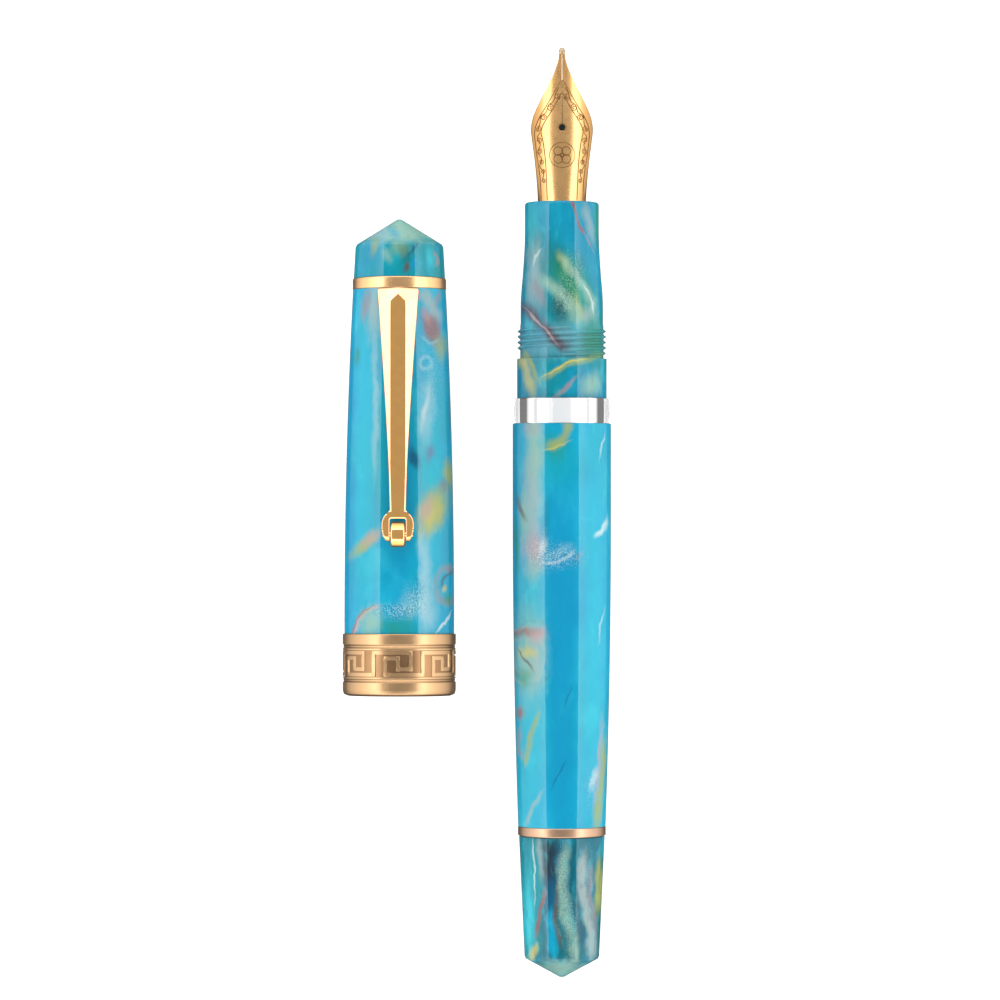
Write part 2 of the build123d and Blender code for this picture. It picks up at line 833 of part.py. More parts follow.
finial.part.label = "finial"
finial_stud.part.label = "finial_stud"
clip_washer.part.label = "clip_washer"
clip_arm.part.label = "clip_arm"
roller_axle.part.label = "roller_axle"
clip_roller.part.label = "clip_roller"

export_step(piston_knob.part, "parts/piston_knob.step")
export_step(drive_spindle.part, "parts/drive_spindle.step")
export_step(spindle_clip.part, "parts/spindle_clip.step")
export_step(barrel_ring.part, "parts/barrel_ring.step")
export_step(barrel.part, "parts/barrel.step")
export_step(ink_chamber.part, "parts/ink_chamber.step")
export_step(grip_section.part, "parts/grip_section.step")
export_step(piston_sleeve.part, "parts/piston_sleeve.step")
export_step(sleeve_o_ring.part, "parts/sleeve_o_ring.step")
export_step(plunger_tube.part, "parts/plunger_tube.step")
export_step(piston_head.part, "parts/piston_head.step")
export_step(piston_rear_seal.part, "parts/piston_rear_seal.step")
export_step(piston_front_seal.part, "parts/piston_front_seal.step")
export_step(nib.part, "parts/nib.step")
export_step(nib_tipping.part, "parts/nib_tipping.step")
export_step(feed.part, "parts/feed.step")
export_step(nib_housing.part, "parts/nib_housing.step")
export_step(nib_unit_o_ring.part, "parts/nib_unit_o_ring.step")
export_step(section_o_ring.part, "parts/section_o_ring.step")
export_step(cap_tube.part, "parts/cap_tube.step")
export_step(cap_liner.part, "parts/cap_liner.step")
export_step(cap_band.part, "parts/cap_band.step")
export_step(clip_ring.part, "parts/clip_ring.step")
export_step(finial.part, "parts/finial.step")
export_step(finial_stud.part, "parts/finial_stud.step")
export_step(clip_washer.part, "parts/clip_washer.step")
export_step(clip_arm.part, "parts/clip_arm.step")
export_step(roller_axle.part, "parts/roller_axle.step")
export_step(clip_roller.part, "parts/clip_roller.step")
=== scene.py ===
import math

import bmesh
import bpy
from mathutils import Matrix, Vector


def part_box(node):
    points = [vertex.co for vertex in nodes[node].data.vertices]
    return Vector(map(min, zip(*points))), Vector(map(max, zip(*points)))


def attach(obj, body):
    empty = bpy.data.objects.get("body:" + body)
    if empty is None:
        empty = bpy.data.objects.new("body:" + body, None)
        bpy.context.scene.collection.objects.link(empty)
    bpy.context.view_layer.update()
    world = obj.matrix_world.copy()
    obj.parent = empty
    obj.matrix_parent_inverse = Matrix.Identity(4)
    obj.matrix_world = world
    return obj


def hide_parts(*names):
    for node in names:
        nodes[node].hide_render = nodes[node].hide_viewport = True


# The looks of a piston-filling fountain pen lying beside its screw cap.
# Lengths are in millimetres in each piece's own frame: the station along the axis,
# the side (row +Y) and the height above the axis. Pen stations are measured from the
# tail tip towards the nib, cap stations from the mouth towards the finial.

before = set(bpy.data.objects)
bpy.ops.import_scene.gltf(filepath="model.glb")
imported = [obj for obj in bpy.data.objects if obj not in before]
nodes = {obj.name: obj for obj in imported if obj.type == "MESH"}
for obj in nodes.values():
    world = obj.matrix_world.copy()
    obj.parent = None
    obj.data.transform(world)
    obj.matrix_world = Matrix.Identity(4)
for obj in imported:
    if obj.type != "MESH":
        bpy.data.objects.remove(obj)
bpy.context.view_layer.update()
print("frame loaded")


def middle(node):
    low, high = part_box(node)
    return (low + high) / 2


def placeOf(origin, along):
    # the frame of the pen or the cap: millimetres in, metres out
    side = Vector((0, 1, 0))
    up = along.cross(side)
    turned = Matrix((along, side, up)).transposed().to_4x4()
    return Matrix.Translation(origin) @ turned @ Matrix.Scale(0.001, 4)


ringMiddle = middle("barrel_ring")
penPlace = placeOf(
    Vector((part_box("piston_knob")[0].x, ringMiddle.y, ringMiddle.z)), Vector((1, 0, 0))
)
linerMiddle = middle("cap_liner")
capAlong = (middle("clip_ring") - linerMiddle).normalized()
capAlong.y = 0
capAlong.normalize()
capPlace = placeOf(linerMiddle - capAlong * 0.0409, capAlong)


# Shapes


def newPiece(name, shape, place, materials, body, replaced=(), sharp=32, merge=0.002):
    # turns a bmesh in millimetres into a finished piece in the row frame
    bmesh.ops.remove_doubles(shape, verts=shape.verts, dist=merge)
    bmesh.ops.transform(shape, matrix=place, verts=shape.verts)
    bmesh.ops.recalc_face_normals(shape, faces=shape.faces)
    for edge in shape.edges:
        edge.smooth = edge.calc_face_angle(0) < math.radians(sharp)
    for face in shape.faces:
        face.smooth = True
    mesh = bpy.data.meshes.new(name)
    shape.to_mesh(mesh)
    shape.free()
    for material in materials:
        mesh.materials.append(material)
    piece = bpy.data.objects.new(name, mesh)
    bpy.context.scene.collection.objects.link(piece)
    piece.visible_glossy = False
    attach(piece, body)
    if replaced:
        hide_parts(*replaced)
    return piece


def softened(corners, steps=4, closed=True):
    # a profile of (station, radius, rounding) corners as plain points
    points = []
    count = len(corners)
    for index, corner in enumerate(corners):
        here = Vector(corner[:2])
        rounding = corner[2] if len(corner) > 2 else 0
        if rounding == 0 or (not closed and index in (0, count - 1)):
            points.append(here)
            continue
        before = Vector(corners[index - 1][:2]) - here
        after = Vector(corners[(index + 1) % count][:2]) - here
        half = before.angle(after) / 2
        reach = rounding / math.tan(half)
        reach = min(reach, before.length * 0.48, after.length * 0.48)
        radius = reach * math.tan(half)
        first = here + before.normalized() * reach
        last = here + after.normalized() * reach
        centre = here + (before.normalized() + after.normalized()).normalized() * (
            radius / math.sin(half)
        )
        spread = (first - centre).angle_signed(last - centre)
        for step in range(steps + 1):
            arm = first - centre
            arm.rotate(Matrix.Rotation(-spread * step / steps, 2))
            points.append(centre + arm)
    return points


def arcPoints(first, through, last, count):
    # points of the circular arc through three (station, radius) points
    a, b, c = Vector(first), Vector(through), Vector(last)
    d = 2 * (a.x * (b.y - c.y) + b.x * (c.y - a.y) + c.x * (a.y - b.y))
    squares = [v.length_squared for v in (a, b, c)]
    centre = Vector(
        (
            (squares[0] * (b.y - c.y) + squares[1] * (c.y - a.y) + squares[2] * (a.y - b.y)) / d,
            (squares[0] * (c.x - b.x) + squares[1] * (a.x - c.x) + squares[2] * (b.x - a.x)) / d,
        )
    )
    radius = (a - centre).length
    sign = 1 if b.y > centre.y else -1
    points = []
    for step in range(count + 1):
        station = a.x + (c.x - a.x) * step / count
        points.append((station, centre.y + sign * math.sqrt(radius**2 - (station - centre.x) ** 2)))
    return points


def lathe(profile, steps=160):
    # spins a closed outline of (station, radius) points about the long axis
    shape = bmesh.new()
    corners = [shape.verts.new((point[0], 0, point[1])) for point in profile]
    edges = [
        shape.edges.new((corners[index - 1], corners[index])) for index in range(len(corners))
    ]
    bmesh.ops.spin(
        shape,
        geom=corners + edges,
        cent=(0, 0, 0),
        axis=(1, 0, 0),
        angle=math.tau,
        steps=steps,
        use_merge=True,
    )
    return shape


def threadRidge(shape, values, inward=False):
    # double-start ridges: a closed tooth section spun forwards along the axis
    sign = -1 if inward else 1
    for start in range(values["starts"]):
        first = values["first"] + start * values["spacing"]
        half = values["spacing"] * 0.42
        root, crest = values["root"], values["crest"]
        rounded = [
            (first + half * step / 5, root + (crest - root) * (1 + math.cos(math.pi * step / 5)) / 2)
            for step in range(-5, 6)
        ]
        low = root - sign * 0.12
        tooth = [(first - half, low), *rounded, (first + half, low)]
        lead = values["spacing"] * values["starts"]
        turns = (values["last"] - first) / lead
        steps = round(72 * turns)
        corners = [shape.verts.new((point[0], 0, point[1])) for point in tooth]
        face = shape.faces.new(corners)
        made = set(shape.verts)
        bmesh.ops.spin(
            shape,
            geom=[face, *face.edges, *face.verts],
            cent=(0, 0, 0),
            axis=(1, 0, 0),
            dvec=(turns * lead / steps, 0, 0),
            angle=math.tau * turns,
            steps=steps,
        )
        ridge = [v for v in shape.verts if v not in made or v in corners]
        for corner in ridge:
            # both ends run out over the first and last quarter turn
            share = min(
                1,
                max(0, (corner.co.x - values["first"] + half) / (lead * 0.5)),
                max(0, (values["last"] + half - corner.co.x) / (lead * 0.5)),
            )
            radius = math.hypot(corner.co.y, corner.co.z)
            scale = (low + (radius - low) * share) / radius
            corner.co.y *= scale
            corner.co.z *= scale


def splineValue(table, station):
    # a smooth curve through (station, value) pairs
    if station <= table[0][0]:
        return table[0][1]
    if station >= table[-1][0]:
        return table[-1][1]
    for index in range(len(table) - 1):
        if table[index][0] <= station <= table[index + 1][0]:
            break
    x0, y0 = table[index]
    x1, y1 = table[index + 1]
    slope = (y1 - y0) / (x1 - x0)
    left = slope
    right = slope
    if index > 0:
        xb, yb = table[index - 1]
        left = (slope + (y0 - yb) / (x0 - xb)) / 2
    if index + 2 < len(table):
        xa, ya = table[index + 2]
        right = (slope + (ya - y1) / (xa - x1)) / 2
    w = x1 - x0
    t = (station - x0) / w
    return (
        y0 * (2 * t**3 - 3 * t**2 + 1)
        + left * w * (t**3 - 2 * t**2 + t)
        + y1 * (3 * t**2 - 2 * t**3)
        + right * w * (t**3 - t**2)
    )


# Materials


def tint(red, green, blue):
    # a display colour of 0 to 255 as linear light
    def linear(value):
        value /= 255
        return value / 12.92 if value <= 0.04045 else ((value + 0.055) / 1.055) ** 2.4

    return (linear(red), linear(green), linear(blue), 1)


def addNode(tree, kind, inputs, **settings):
    node = tree.nodes.new(kind)
    for name, value in settings.items():
        setattr(node, name, value)
    for key, value in inputs.items():
        if isinstance(value, bpy.types.NodeSocket):
            tree.links.new(value, node.inputs[key])
        else:
            node.inputs[key].default_value = value
    return node


def mixColours(tree, share, first, second, blend="MIX"):
    node = addNode(
        tree,
        "ShaderNodeMix",
        {0: share, 6: first, 7: second},
        data_type="RGBA",
        blend_type=blend,
    )
    return node.outputs[2]


def noise(tree, vector, scale, detail=3.0, roughness=0.5, distortion=0.0):
    node = addNode(
        tree,
        "ShaderNodeTexNoise",
        {
            "Vector": vector,
            "Scale": scale,
            "Detail": detail,
            "Roughness": roughness,
            "Distortion": distortion,
        },
        noise_dimensions="3D",
    )
    return node.outputs[0], node.outputs[1]


def ramp(tree, value, low, high, first=0.0, last=1.0):
    node = addNode(
        tree,
        "ShaderNodeMapRange",
        {"Value": value, "From Min": low, "From Max": high, "To Min": first, "To Max": last},
        interpolation_type="SMOOTHSTEP",
    )
    return node.outputs[0]


def mathNode(tree, operation, first, second=0.0):
    node = addNode(tree, "ShaderNodeMath", {0: first, 1: second}, operation=operation)
    return node.outputs[0]


def vectorNode(tree, operation, first, second=(0, 0, 0)):
    node = addNode(tree, "ShaderNodeVectorMath", {0: first, 1: second}, operation=operation)
    return node.outputs["Value" if operation == "LENGTH" else "Vector"]


def gapFrom(tree, level, value):
    # how far a value is from a level, either way
    return mathNode(tree, "ABSOLUTE", mathNode(tree, "SUBTRACT", value, level))


def localCoordinates(tree, place):
    # station, side towards row -Y and height above the axis, in millimetres
    origin, turned, _ = place.decompose()
    coordinates = addNode(tree, "ShaderNodeTexCoord", {})
    mapping = addNode(
        tree,
        "ShaderNodeMapping",
        {
            "Vector": coordinates.outputs["Object"],
            "Location": origin,
            "Rotation": turned.to_euler(),
            "Scale": (0.001, -0.001, 0.001),
        },
        vector_type="TEXTURE",
    )
    return mapping.outputs[0]


def principled(name, colour, metallic=0.0, roughness=0.3, **inputs):
    material = bpy.data.materials.new(name)
    material.use_nodes = True
    shader = material.node_tree.nodes["Principled BSDF"]
    shader.inputs["Base Color"].default_value = colour
    shader.inputs["Metallic"].default_value = metallic
    shader.inputs["Roughness"].default_value = roughness
    for key, value in inputs.items():
        shader.inputs[key.replace("_", " ")].default_value = value
    return material


def ellipseDistance(tree, vector, station, side, length, width, turn=0):
    # 0 at the ellipse's centre and 1 on its outline
    mapping = addNode(
        tree,
        "ShaderNodeMapping",
        {
            "Vector": vector,
            "Location": (station, side, 0),
            "Rotation": (0, 0, math.radians(turn)),
            "Scale": (length, width, 1000),
        },
        vector_type="TEXTURE",
    )
    return vectorNode(tree, "LENGTH", mapping.outputs[0])


def addPatch(tree, vector, ragged, colour, patch, tone):
    # one ellipse of colour with an uneven soft edge: centre, half sizes, turn, softness, amount
    *ellipse, softness, amount = patch
    distance = ellipseDistance(tree, vector, *ellipse)
    uneven = mathNode(tree, "ADD", distance, ragged)
    spread = min(0.95, softness * 1.35)
    share = ramp(tree, uneven, 1 + spread, 1 - spread, 0.0, amount)
    return mixColours(tree, share, colour, tone)


def addRing(tree, vector, ragged, colour, ring, tone):
    # an uneven outline round an ellipse: centre, half sizes, thickness, amount
    *ellipse, thickness, amount = ring
    distance = ellipseDistance(tree, vector, *ellipse)
    uneven = mathNode(tree, "ADD", distance, mathNode(tree, "MULTIPLY", ragged, 0.3))
    share = ramp(tree, gapFrom(tree, 1.0, uneven), thickness, 0.0, 0.0, amount)
    return mixColours(tree, share, colour, tone)


def addStreak(tree, vector, ragged, colour, streak, tone):
    # a chain of thin ellipses along (station, side) points
    points, width, softness, amount = streak
    for first, last in zip(points, points[1:]):
        run, rise = last[0] - first[0], last[1] - first[1]
        patch = (
            (first[0] + last[0]) / 2,
            (first[1] + last[1]) / 2,
            math.hypot(run, rise) * 0.62,
            width,
            math.degrees(math.atan2(rise, run)),
            softness,
            amount,
        )
        colour = addPatch(tree, vector, ragged, colour, patch, tone)
    return colour


tones = {
    "azure": tint(0, 166, 206),
    "deep": tint(0, 148, 196),
    "teal": tint(0, 164, 180),
    "darkTeal": tint(0, 92, 112),
    "sky": tint(60, 214, 232),
    "pearl": tint(150, 206, 216),
    "lilac": tint(150, 200, 216),
    "white": tint(214, 234, 236),
    "sage": tint(150, 192, 172),
    "green": tint(40, 146, 104),
    "olive": tint(164, 174, 84),
    "yellow": tint(206, 196, 104),
    "purple": tint(112, 104, 150),
    "mauve": tint(150, 140, 150),
    "greyPink": tint(166, 186, 184),
    "pink": tint(196, 160, 164),
    "redBrown": tint(152, 88, 84),
    "maroon": tint(84, 58, 68),
    "brown": tint(96, 80, 72),
    "ink": tint(36, 44, 58),
    "navy": tint(8, 84, 124),
    "darkGreen": tint(8, 84, 80),
}


acrylicLook = {
    "index": 1.49,
    "specular": 0.28,
    # the tones are written as they look in the studio's light
    "studioGain": 0.58,
    # blend from the pattern all round to the front's own patches, by height
    "frontFrom": -2.5,
    "frontTo": 1.5,
}


def warped(tree, vector, scale, amount, stretch=(1, 1, 1)):
    # the coordinates pushed about by a slow noise
    squeezed = vectorNode(tree, "MULTIPLY", vector, stretch)
    _, wave = noise(tree, squeezed, scale, 2.0, 0.5)
    centred = vectorNode(tree, "SUBTRACT", wave, (0.5, 0.5, 0.5))
    push = vectorNode(tree, "MULTIPLY", centred, (amount, amount, amount))
    return vectorNode(tree, "ADD", vector, push)


def cloudyGround(tree, swirl, look):
    # broad clouds of two tones, with deeper and paler ones over them
    broad, _ = noise(tree, swirl, 0.13, 2.0, 0.4)
    colour = mixColours(tree, ramp(tree, broad, 0.42, 0.66), look["first"], look["second"])
    finer, _ = noise(tree, swirl, 0.27, 2.0, 0.45)
    deeper = ramp(tree, finer, 0.52, 0.75, 0.0, look["deepShare"])
    colour = mixColours(tree, deeper, colour, tones["deep"])
    paler = ramp(tree, finer, 0.46, 0.25, 0.0, look["skyShare"])
    return mixColours(tree, paler, colour, tones["sky"])


def addVeins(tree, swirl, colour, veins):
    # soft veins where a noise passes through its level: scale, level, width, tone, amount
    for scale, level, width, tone, amount in veins:
        fold, _ = noise(tree, swirl, scale, 1.0, 0.4)
        share = ramp(tree, gapFrom(tree, level, fold), width, width * 0.1, 0.0, amount)
        mask, _ = noise(tree, swirl, scale * 0.45, 0.0, 0.5)
        share = mathNode(tree, "MULTIPLY", share, ramp(tree, mask, 0.5, 0.64))
        colour = mixColours(tree, share, colour, tones[tone])
    return colour


def addSmoke(tree, drawn, colour, amount):
    # fine drawn-out streaks, dark and pale
    smoke, _ = noise(tree, drawn, 0.9, 3.0, 0.55)
    for end, tone in ((0.8, "navy"), (0.2, "sky")):
        colour = mixColours(tree, ramp(tree, smoke, 0.5, end, 0.0, amount), colour, tones[tone])
    return colour


def addGrains(tree, local, wavy, ragged, colour, spots):
    # pearl and dark grains in a few spots: centre, half sizes, amount
    grains, _ = noise(tree, local, 5.2, 1.0, 0.6)
    for *ellipse, amount in spots:
        patch = (*ellipse, 0, 0.9, 1.0)
        placed = addPatch(tree, wavy, ragged, (0, 0, 0, 1), patch, (1, 1, 1, 1))
        for end, tone in ((0.62, "white"), (0.38, "brown")):
            share = ramp(tree, grains, 0.5, end, 0.0, amount)
            share = mathNode(tree, "MULTIPLY", share, placed)
            colour = mixColours(tree, share, colour, tones[tone])
    return colour


def swirledAcrylic(name, place, look):
    material = principled(
        name,
        tones["azure"],
        roughness=look["roughness"],
        IOR=acrylicLook["index"],
        Specular_IOR_Level=acrylicLook["specular"],
    )
    tree = material.node_tree
    local = localCoordinates(tree, place)
    moved = vectorNode(tree, "ADD", local, look["offset"])
    swirl = warped(tree, warped(tree, moved, 0.09, 10.0), 0.3, 3.0)
    swirl = vectorNode(tree, "MULTIPLY", swirl, (0.55, 1.0, 1.0))
    ground = cloudyGround(tree, swirl, look)
    allRound = addVeins(tree, swirl, ground, look["veins"])

    # the patches of the front, with a gentle waver
    wavy = warped(tree, local, 0.35, 1.2, (0.8, 1, 1))
    wavy = warped(tree, wavy, 1.1, 0.35, (0.8, 1, 1))
    drawn = vectorNode(tree, "MULTIPLY", wavy, (0.35, 1.0, 1.0))
    edges, _ = noise(tree, drawn, 1.1, 4.0, 0.6)
    ragged = mathNode(tree, "MULTIPLY", mathNode(tree, "SUBTRACT", edges, 0.5), 0.9)
    colour = ground
    for tone, *ring in look["rings"]:
        colour = addRing(tree, wavy, ragged, colour, ring, tones[tone])
    for tone, *patch in look["patches"]:
        addShape = addStreak if isinstance(patch[0], list) else addPatch
        colour = addShape(tree, wavy, ragged, colour, patch, tones[tone])
    height = addNode(tree, "ShaderNodeSeparateXYZ", {0: local}).outputs[2]
    front = ramp(tree, height, acrylicLook["frontFrom"], acrylicLook["frontTo"])
    colour = mixColours(tree, front, allRound, colour)

    colour = addSmoke(tree, drawn, colour, look["smoke"])
    colour = addGrains(tree, local, wavy, ragged, colour, look["grains"])
    gain = acrylicLook["studioGain"]
    colour = mixColours(tree, 1.0, colour, (gain, gain, gain, 1), "MULTIPLY")
    tree.links.new(colour, tree.nodes["Principled BSDF"].inputs["Base Color"])
    return material


# patches: tone, station, side, half length, half width, turn, softness, amount,
# or tone, points, half width, softness, amount
knobLook = {
    "roughness": 0.035,
    "offset": (0, 0, 0),
    "first": tint(0, 112, 134),
    "second": tint(10, 106, 112),
    "deepShare": 0.5,
    "skyShare": 0.3,
    "smoke": 0.4,
    "veins": [(0.3, 0.5, 0.05, "sage", 0.6), (0.22, 0.55, 0.06, "navy", 0.7)],
    "grains": [(14.5, 0.0, 5.5, 0.7, 0.22), (7.0, 1.2, 4.0, 0.8, 0.2), (15, 3.6, 3.5, 0.7, 0.1)],
    "rings": [],
    "patches": [
        ("teal", 12.5, -4.4, 9, 1.6, 0, 0.5, 0.8),
        ("sky", 8.5, -4.8, 4.5, 0.8, 0, 0.6, 0.7),
        # painted glint: a thin white line along the edge band
        ("white", [(19.2, -4.2), (15.5, -4.1), (11.7, -3.9)], 0.1, 0.7, 0.7),
        ("greyPink", [(19.8, -3.2), (17.2, -3.1), (14.8, -3.0)], 0.4, 0.6, 0.6),
        ("ink", [(20.0, -1.5), (17.0, -1.8), (13.6, -1.9)], 1.0, 0.5, 0.9),
        ("navy", [(14.5, -1.6), (11.0, -1.9), (7.5, -1.9)], 0.7, 0.6, 0.8),
        ("azure", [(9.5, -1.6), (6.5, -1.5), (3.6, -1.3)], 0.6, 0.5, 0.85),
        ("redBrown", [(12.6, -2.6), (9.6, -3.0), (6.8, -3.6)], 0.24, 0.5, 0.8),
        ("brown", [(13.6, -0.7), (10.8, -0.8), (8.2, -0.9), (5.2, -0.3)], 0.34, 0.6, 0.75),
        ("darkTeal", [(19.4, 1.6), (14.6, 1.2), (9.6, 2.2), (6, 2.8)], 0.6, 0.5, 0.9),
        ("sage", [(18.8, 0.5), (14.3, -0.1), (9.8, 0.5), (5.0, 1.6), (3.2, 1.9)], 0.7, 0.6, 0.62),
        ("greyPink", [(18.0, 3.0), (13.6, 2.8), (10.4, 3.3), (7.2, 4.0), (3.4, 4.3)], 0.62, 0.5, 0.8),
        ("mauve", [(16.0, 3.9), (12.0, 3.9), (8.0, 4.7)], 0.3, 0.6, 0.7),
        ("olive", [(16.5, 5.2), (12.8, 5.3), (9.8, 5.1)], 0.55, 0.6, 0.85),
        ("yellow", 3.9, -4.1, 1.3, 0.45, 20, 0.5, 0.75),
        ("sage", 1.3, 0.0, 1.5, 3.6, 0, 0.5, 0.6),
    ],
}

barrelLook = {
    "roughness": 0.03,
    "offset": (13, 5, 2),
    "first": tones["azure"],
    "second": tint(0, 164, 196),
    "deepShare": 0.4,
    "skyShare": 0.3,
    "smoke": 0.06,
    "veins": [(0.15, 0.57, 0.03, "olive", 0.25)],
    "grains": [
        (60.4, -0.6, 1.3, 2.6, 0.35),
        (61.4, -3.4, 2.4, 1.4, 0.2),
        (28.0, 4.2, 3.0, 0.8, 0.15),
    ],
    "rings": [
        ("greyPink", 46.2, -5.6, 3.9, 3.2, 0.12, 0.45),
        ("mauve", 46.2, -5.6, 2.7, 2.2, 0.12, 0.5),
        ("darkTeal", 46.6, -4.2, 4.6, 3.1, 0.1, 0.35),
    ],
    "patches": [
        # painted highlight and shade: a deep strip down the middle and paler sky strips along both
        # sides, where the lamps' reflections fall
        ("deep", 48.0, -0.2, 34.0, 2.1, 0, 0.4, 0.75),
        ("sky", 50.0, 4.3, 32.0, 1.7, 0, 0.7, 0.4),
        ("sky", 44.0, -4.2, 30.0, 1.6, 0, 0.7, 0.4),
        ("teal", 74.0, -0.5, 3.4, 2.4, 0, 0.8, 0.7),
        ("green", 76.0, -1.2, 1.6, 1.5, 0, 0.8, 0.5),
        ("olive", [(79.6, 0.9), (78.0, 0.5), (76.6, -0.4), (76.2, -2.2)], 0.6, 0.7, 0.75),
        ("yellow", [(75.6, -2.6), (76.0, -1.2), (76.6, 0.6)], 0.14, 0.8, 0.6),
        ("pink", 78.7, -4.2, 1.2, 1.0, 0, 0.8, 0.6),
        ("sage", 74.6, -4.0, 5.4, 0.95, 0, 0.8, 0.8),
        ("greyPink", 68.0, -4.4, 5.2, 1.1, 0, 0.8, 0.75),
        ("sage", 66.0, -5.4, 3.0, 0.5, 0, 0.8, 0.7),
        ("maroon", [(69.0, -6.3), (67.2, -5.9), (65.8, -5.4)], 0.26, 0.7, 0.6),
        ("pink", 61.4, -4.0, 2.6, 1.2, 0, 0.8, 0.75),
        ("sage", 58.6, -4.2, 1.8, 0.8, 0, 0.8, 0.5),
        ("white", 61.6, -2.9, 1.0, 0.4, 20, 0.8, 0.6),
        ("darkTeal", 65.6, -2.3, 3.0, 0.6, 0, 0.9, 0.3),
        ("white", [(59.6, -2.4), (59.6, -0.9), (60.1, 0.2), (61.0, 1.2)], 0.22, 0.8, 0.65),
        ("pearl", [(60.4, -2.0), (61.0, -0.4), (62.0, 0.9)], 0.5, 0.8, 0.4),
        ("mauve", [(60.2, 1.6), (60.9, 2.6)], 0.22, 0.8, 0.6),
        ("deep", 54.5, 0.2, 6.0, 2.4, 0, 0.9, 0.7),
        # painted glints: thin white streaks near the side edge
        ("white", [(65.6, 6.2), (64.2, 5.8), (63.4, 5.0)], 0.3, 0.8, 0.75),
        ("white", [(77.6, 5.9), (75.0, 5.5)], 0.12, 0.8, 0.6),
        ("white", [(52.0, 5.9), (49.0, 5.2)], 0.14, 0.8, 0.5),
        ("green", 61.8, -6.5, 3.2, 0.4, 0, 0.7, 0.6),
        ("sage", 46.2, -4.8, 5.2, 1.9, 0, 0.7, 0.75),
        ("greyPink", 45.6, -3.7, 3.6, 1.0, 0, 0.8, 0.6),
        ("redBrown", 49.6, -5.2, 0.5, 1.9, 0, 0.8, 0.7),
        ("pink", 49.2, -3.6, 0.9, 1.1, 0, 0.9, 0.7),
        ("yellow", 46.8, -4.9, 0.7, 1.1, 10, 0.8, 0.7),
        ("maroon", [(47.0, -6.2), (45.6, -5.1), (44.2, -4.4)], 0.13, 0.8, 0.6),
        ("green", 43.0, -5.6, 1.1, 0.9, 0, 0.9, 0.5),
        ("redBrown", 38.0, -5.9, 0.85, 0.5, 0, 0.6, 0.85),
        ("olive", [(38.0, -3.6), (35.0, -4.6), (32.0, -4.9), (30.6, -5.3)], 0.3, 0.9, 0.65),
        ("mauve", [(35.6, -5.9), (33.2, -6.0), (31.6, -5.8)], 0.3, 0.9, 0.6),
        ("navy", [(41.8, 1.2), (40.4, 0.7), (39.2, 0.4)], 0.1, 0.8, 0.4),
        ("navy", [(31.0, 0.2), (29.4, -0.5), (27.8, -1.3)], 0.12, 0.8, 0.55),
        ("olive", [(33.5, 6.0), (29.6, 5.7), (25.8, 5.2), (21.7, 4.8)], 0.42, 0.8, 0.75),
        ("pink", [(36.0, 5.6), (31.0, 5.1), (26.0, 4.6)], 0.24, 0.9, 0.5),
        ("white", 28.6, 4.4, 1.4, 0.3, 10, 0.9, 0.6),
        ("greyPink", [(26.4, -3.0), (24.6, -4.2), (22.4, -5.0)], 0.3, 0.9, 0.6),
    ],
}

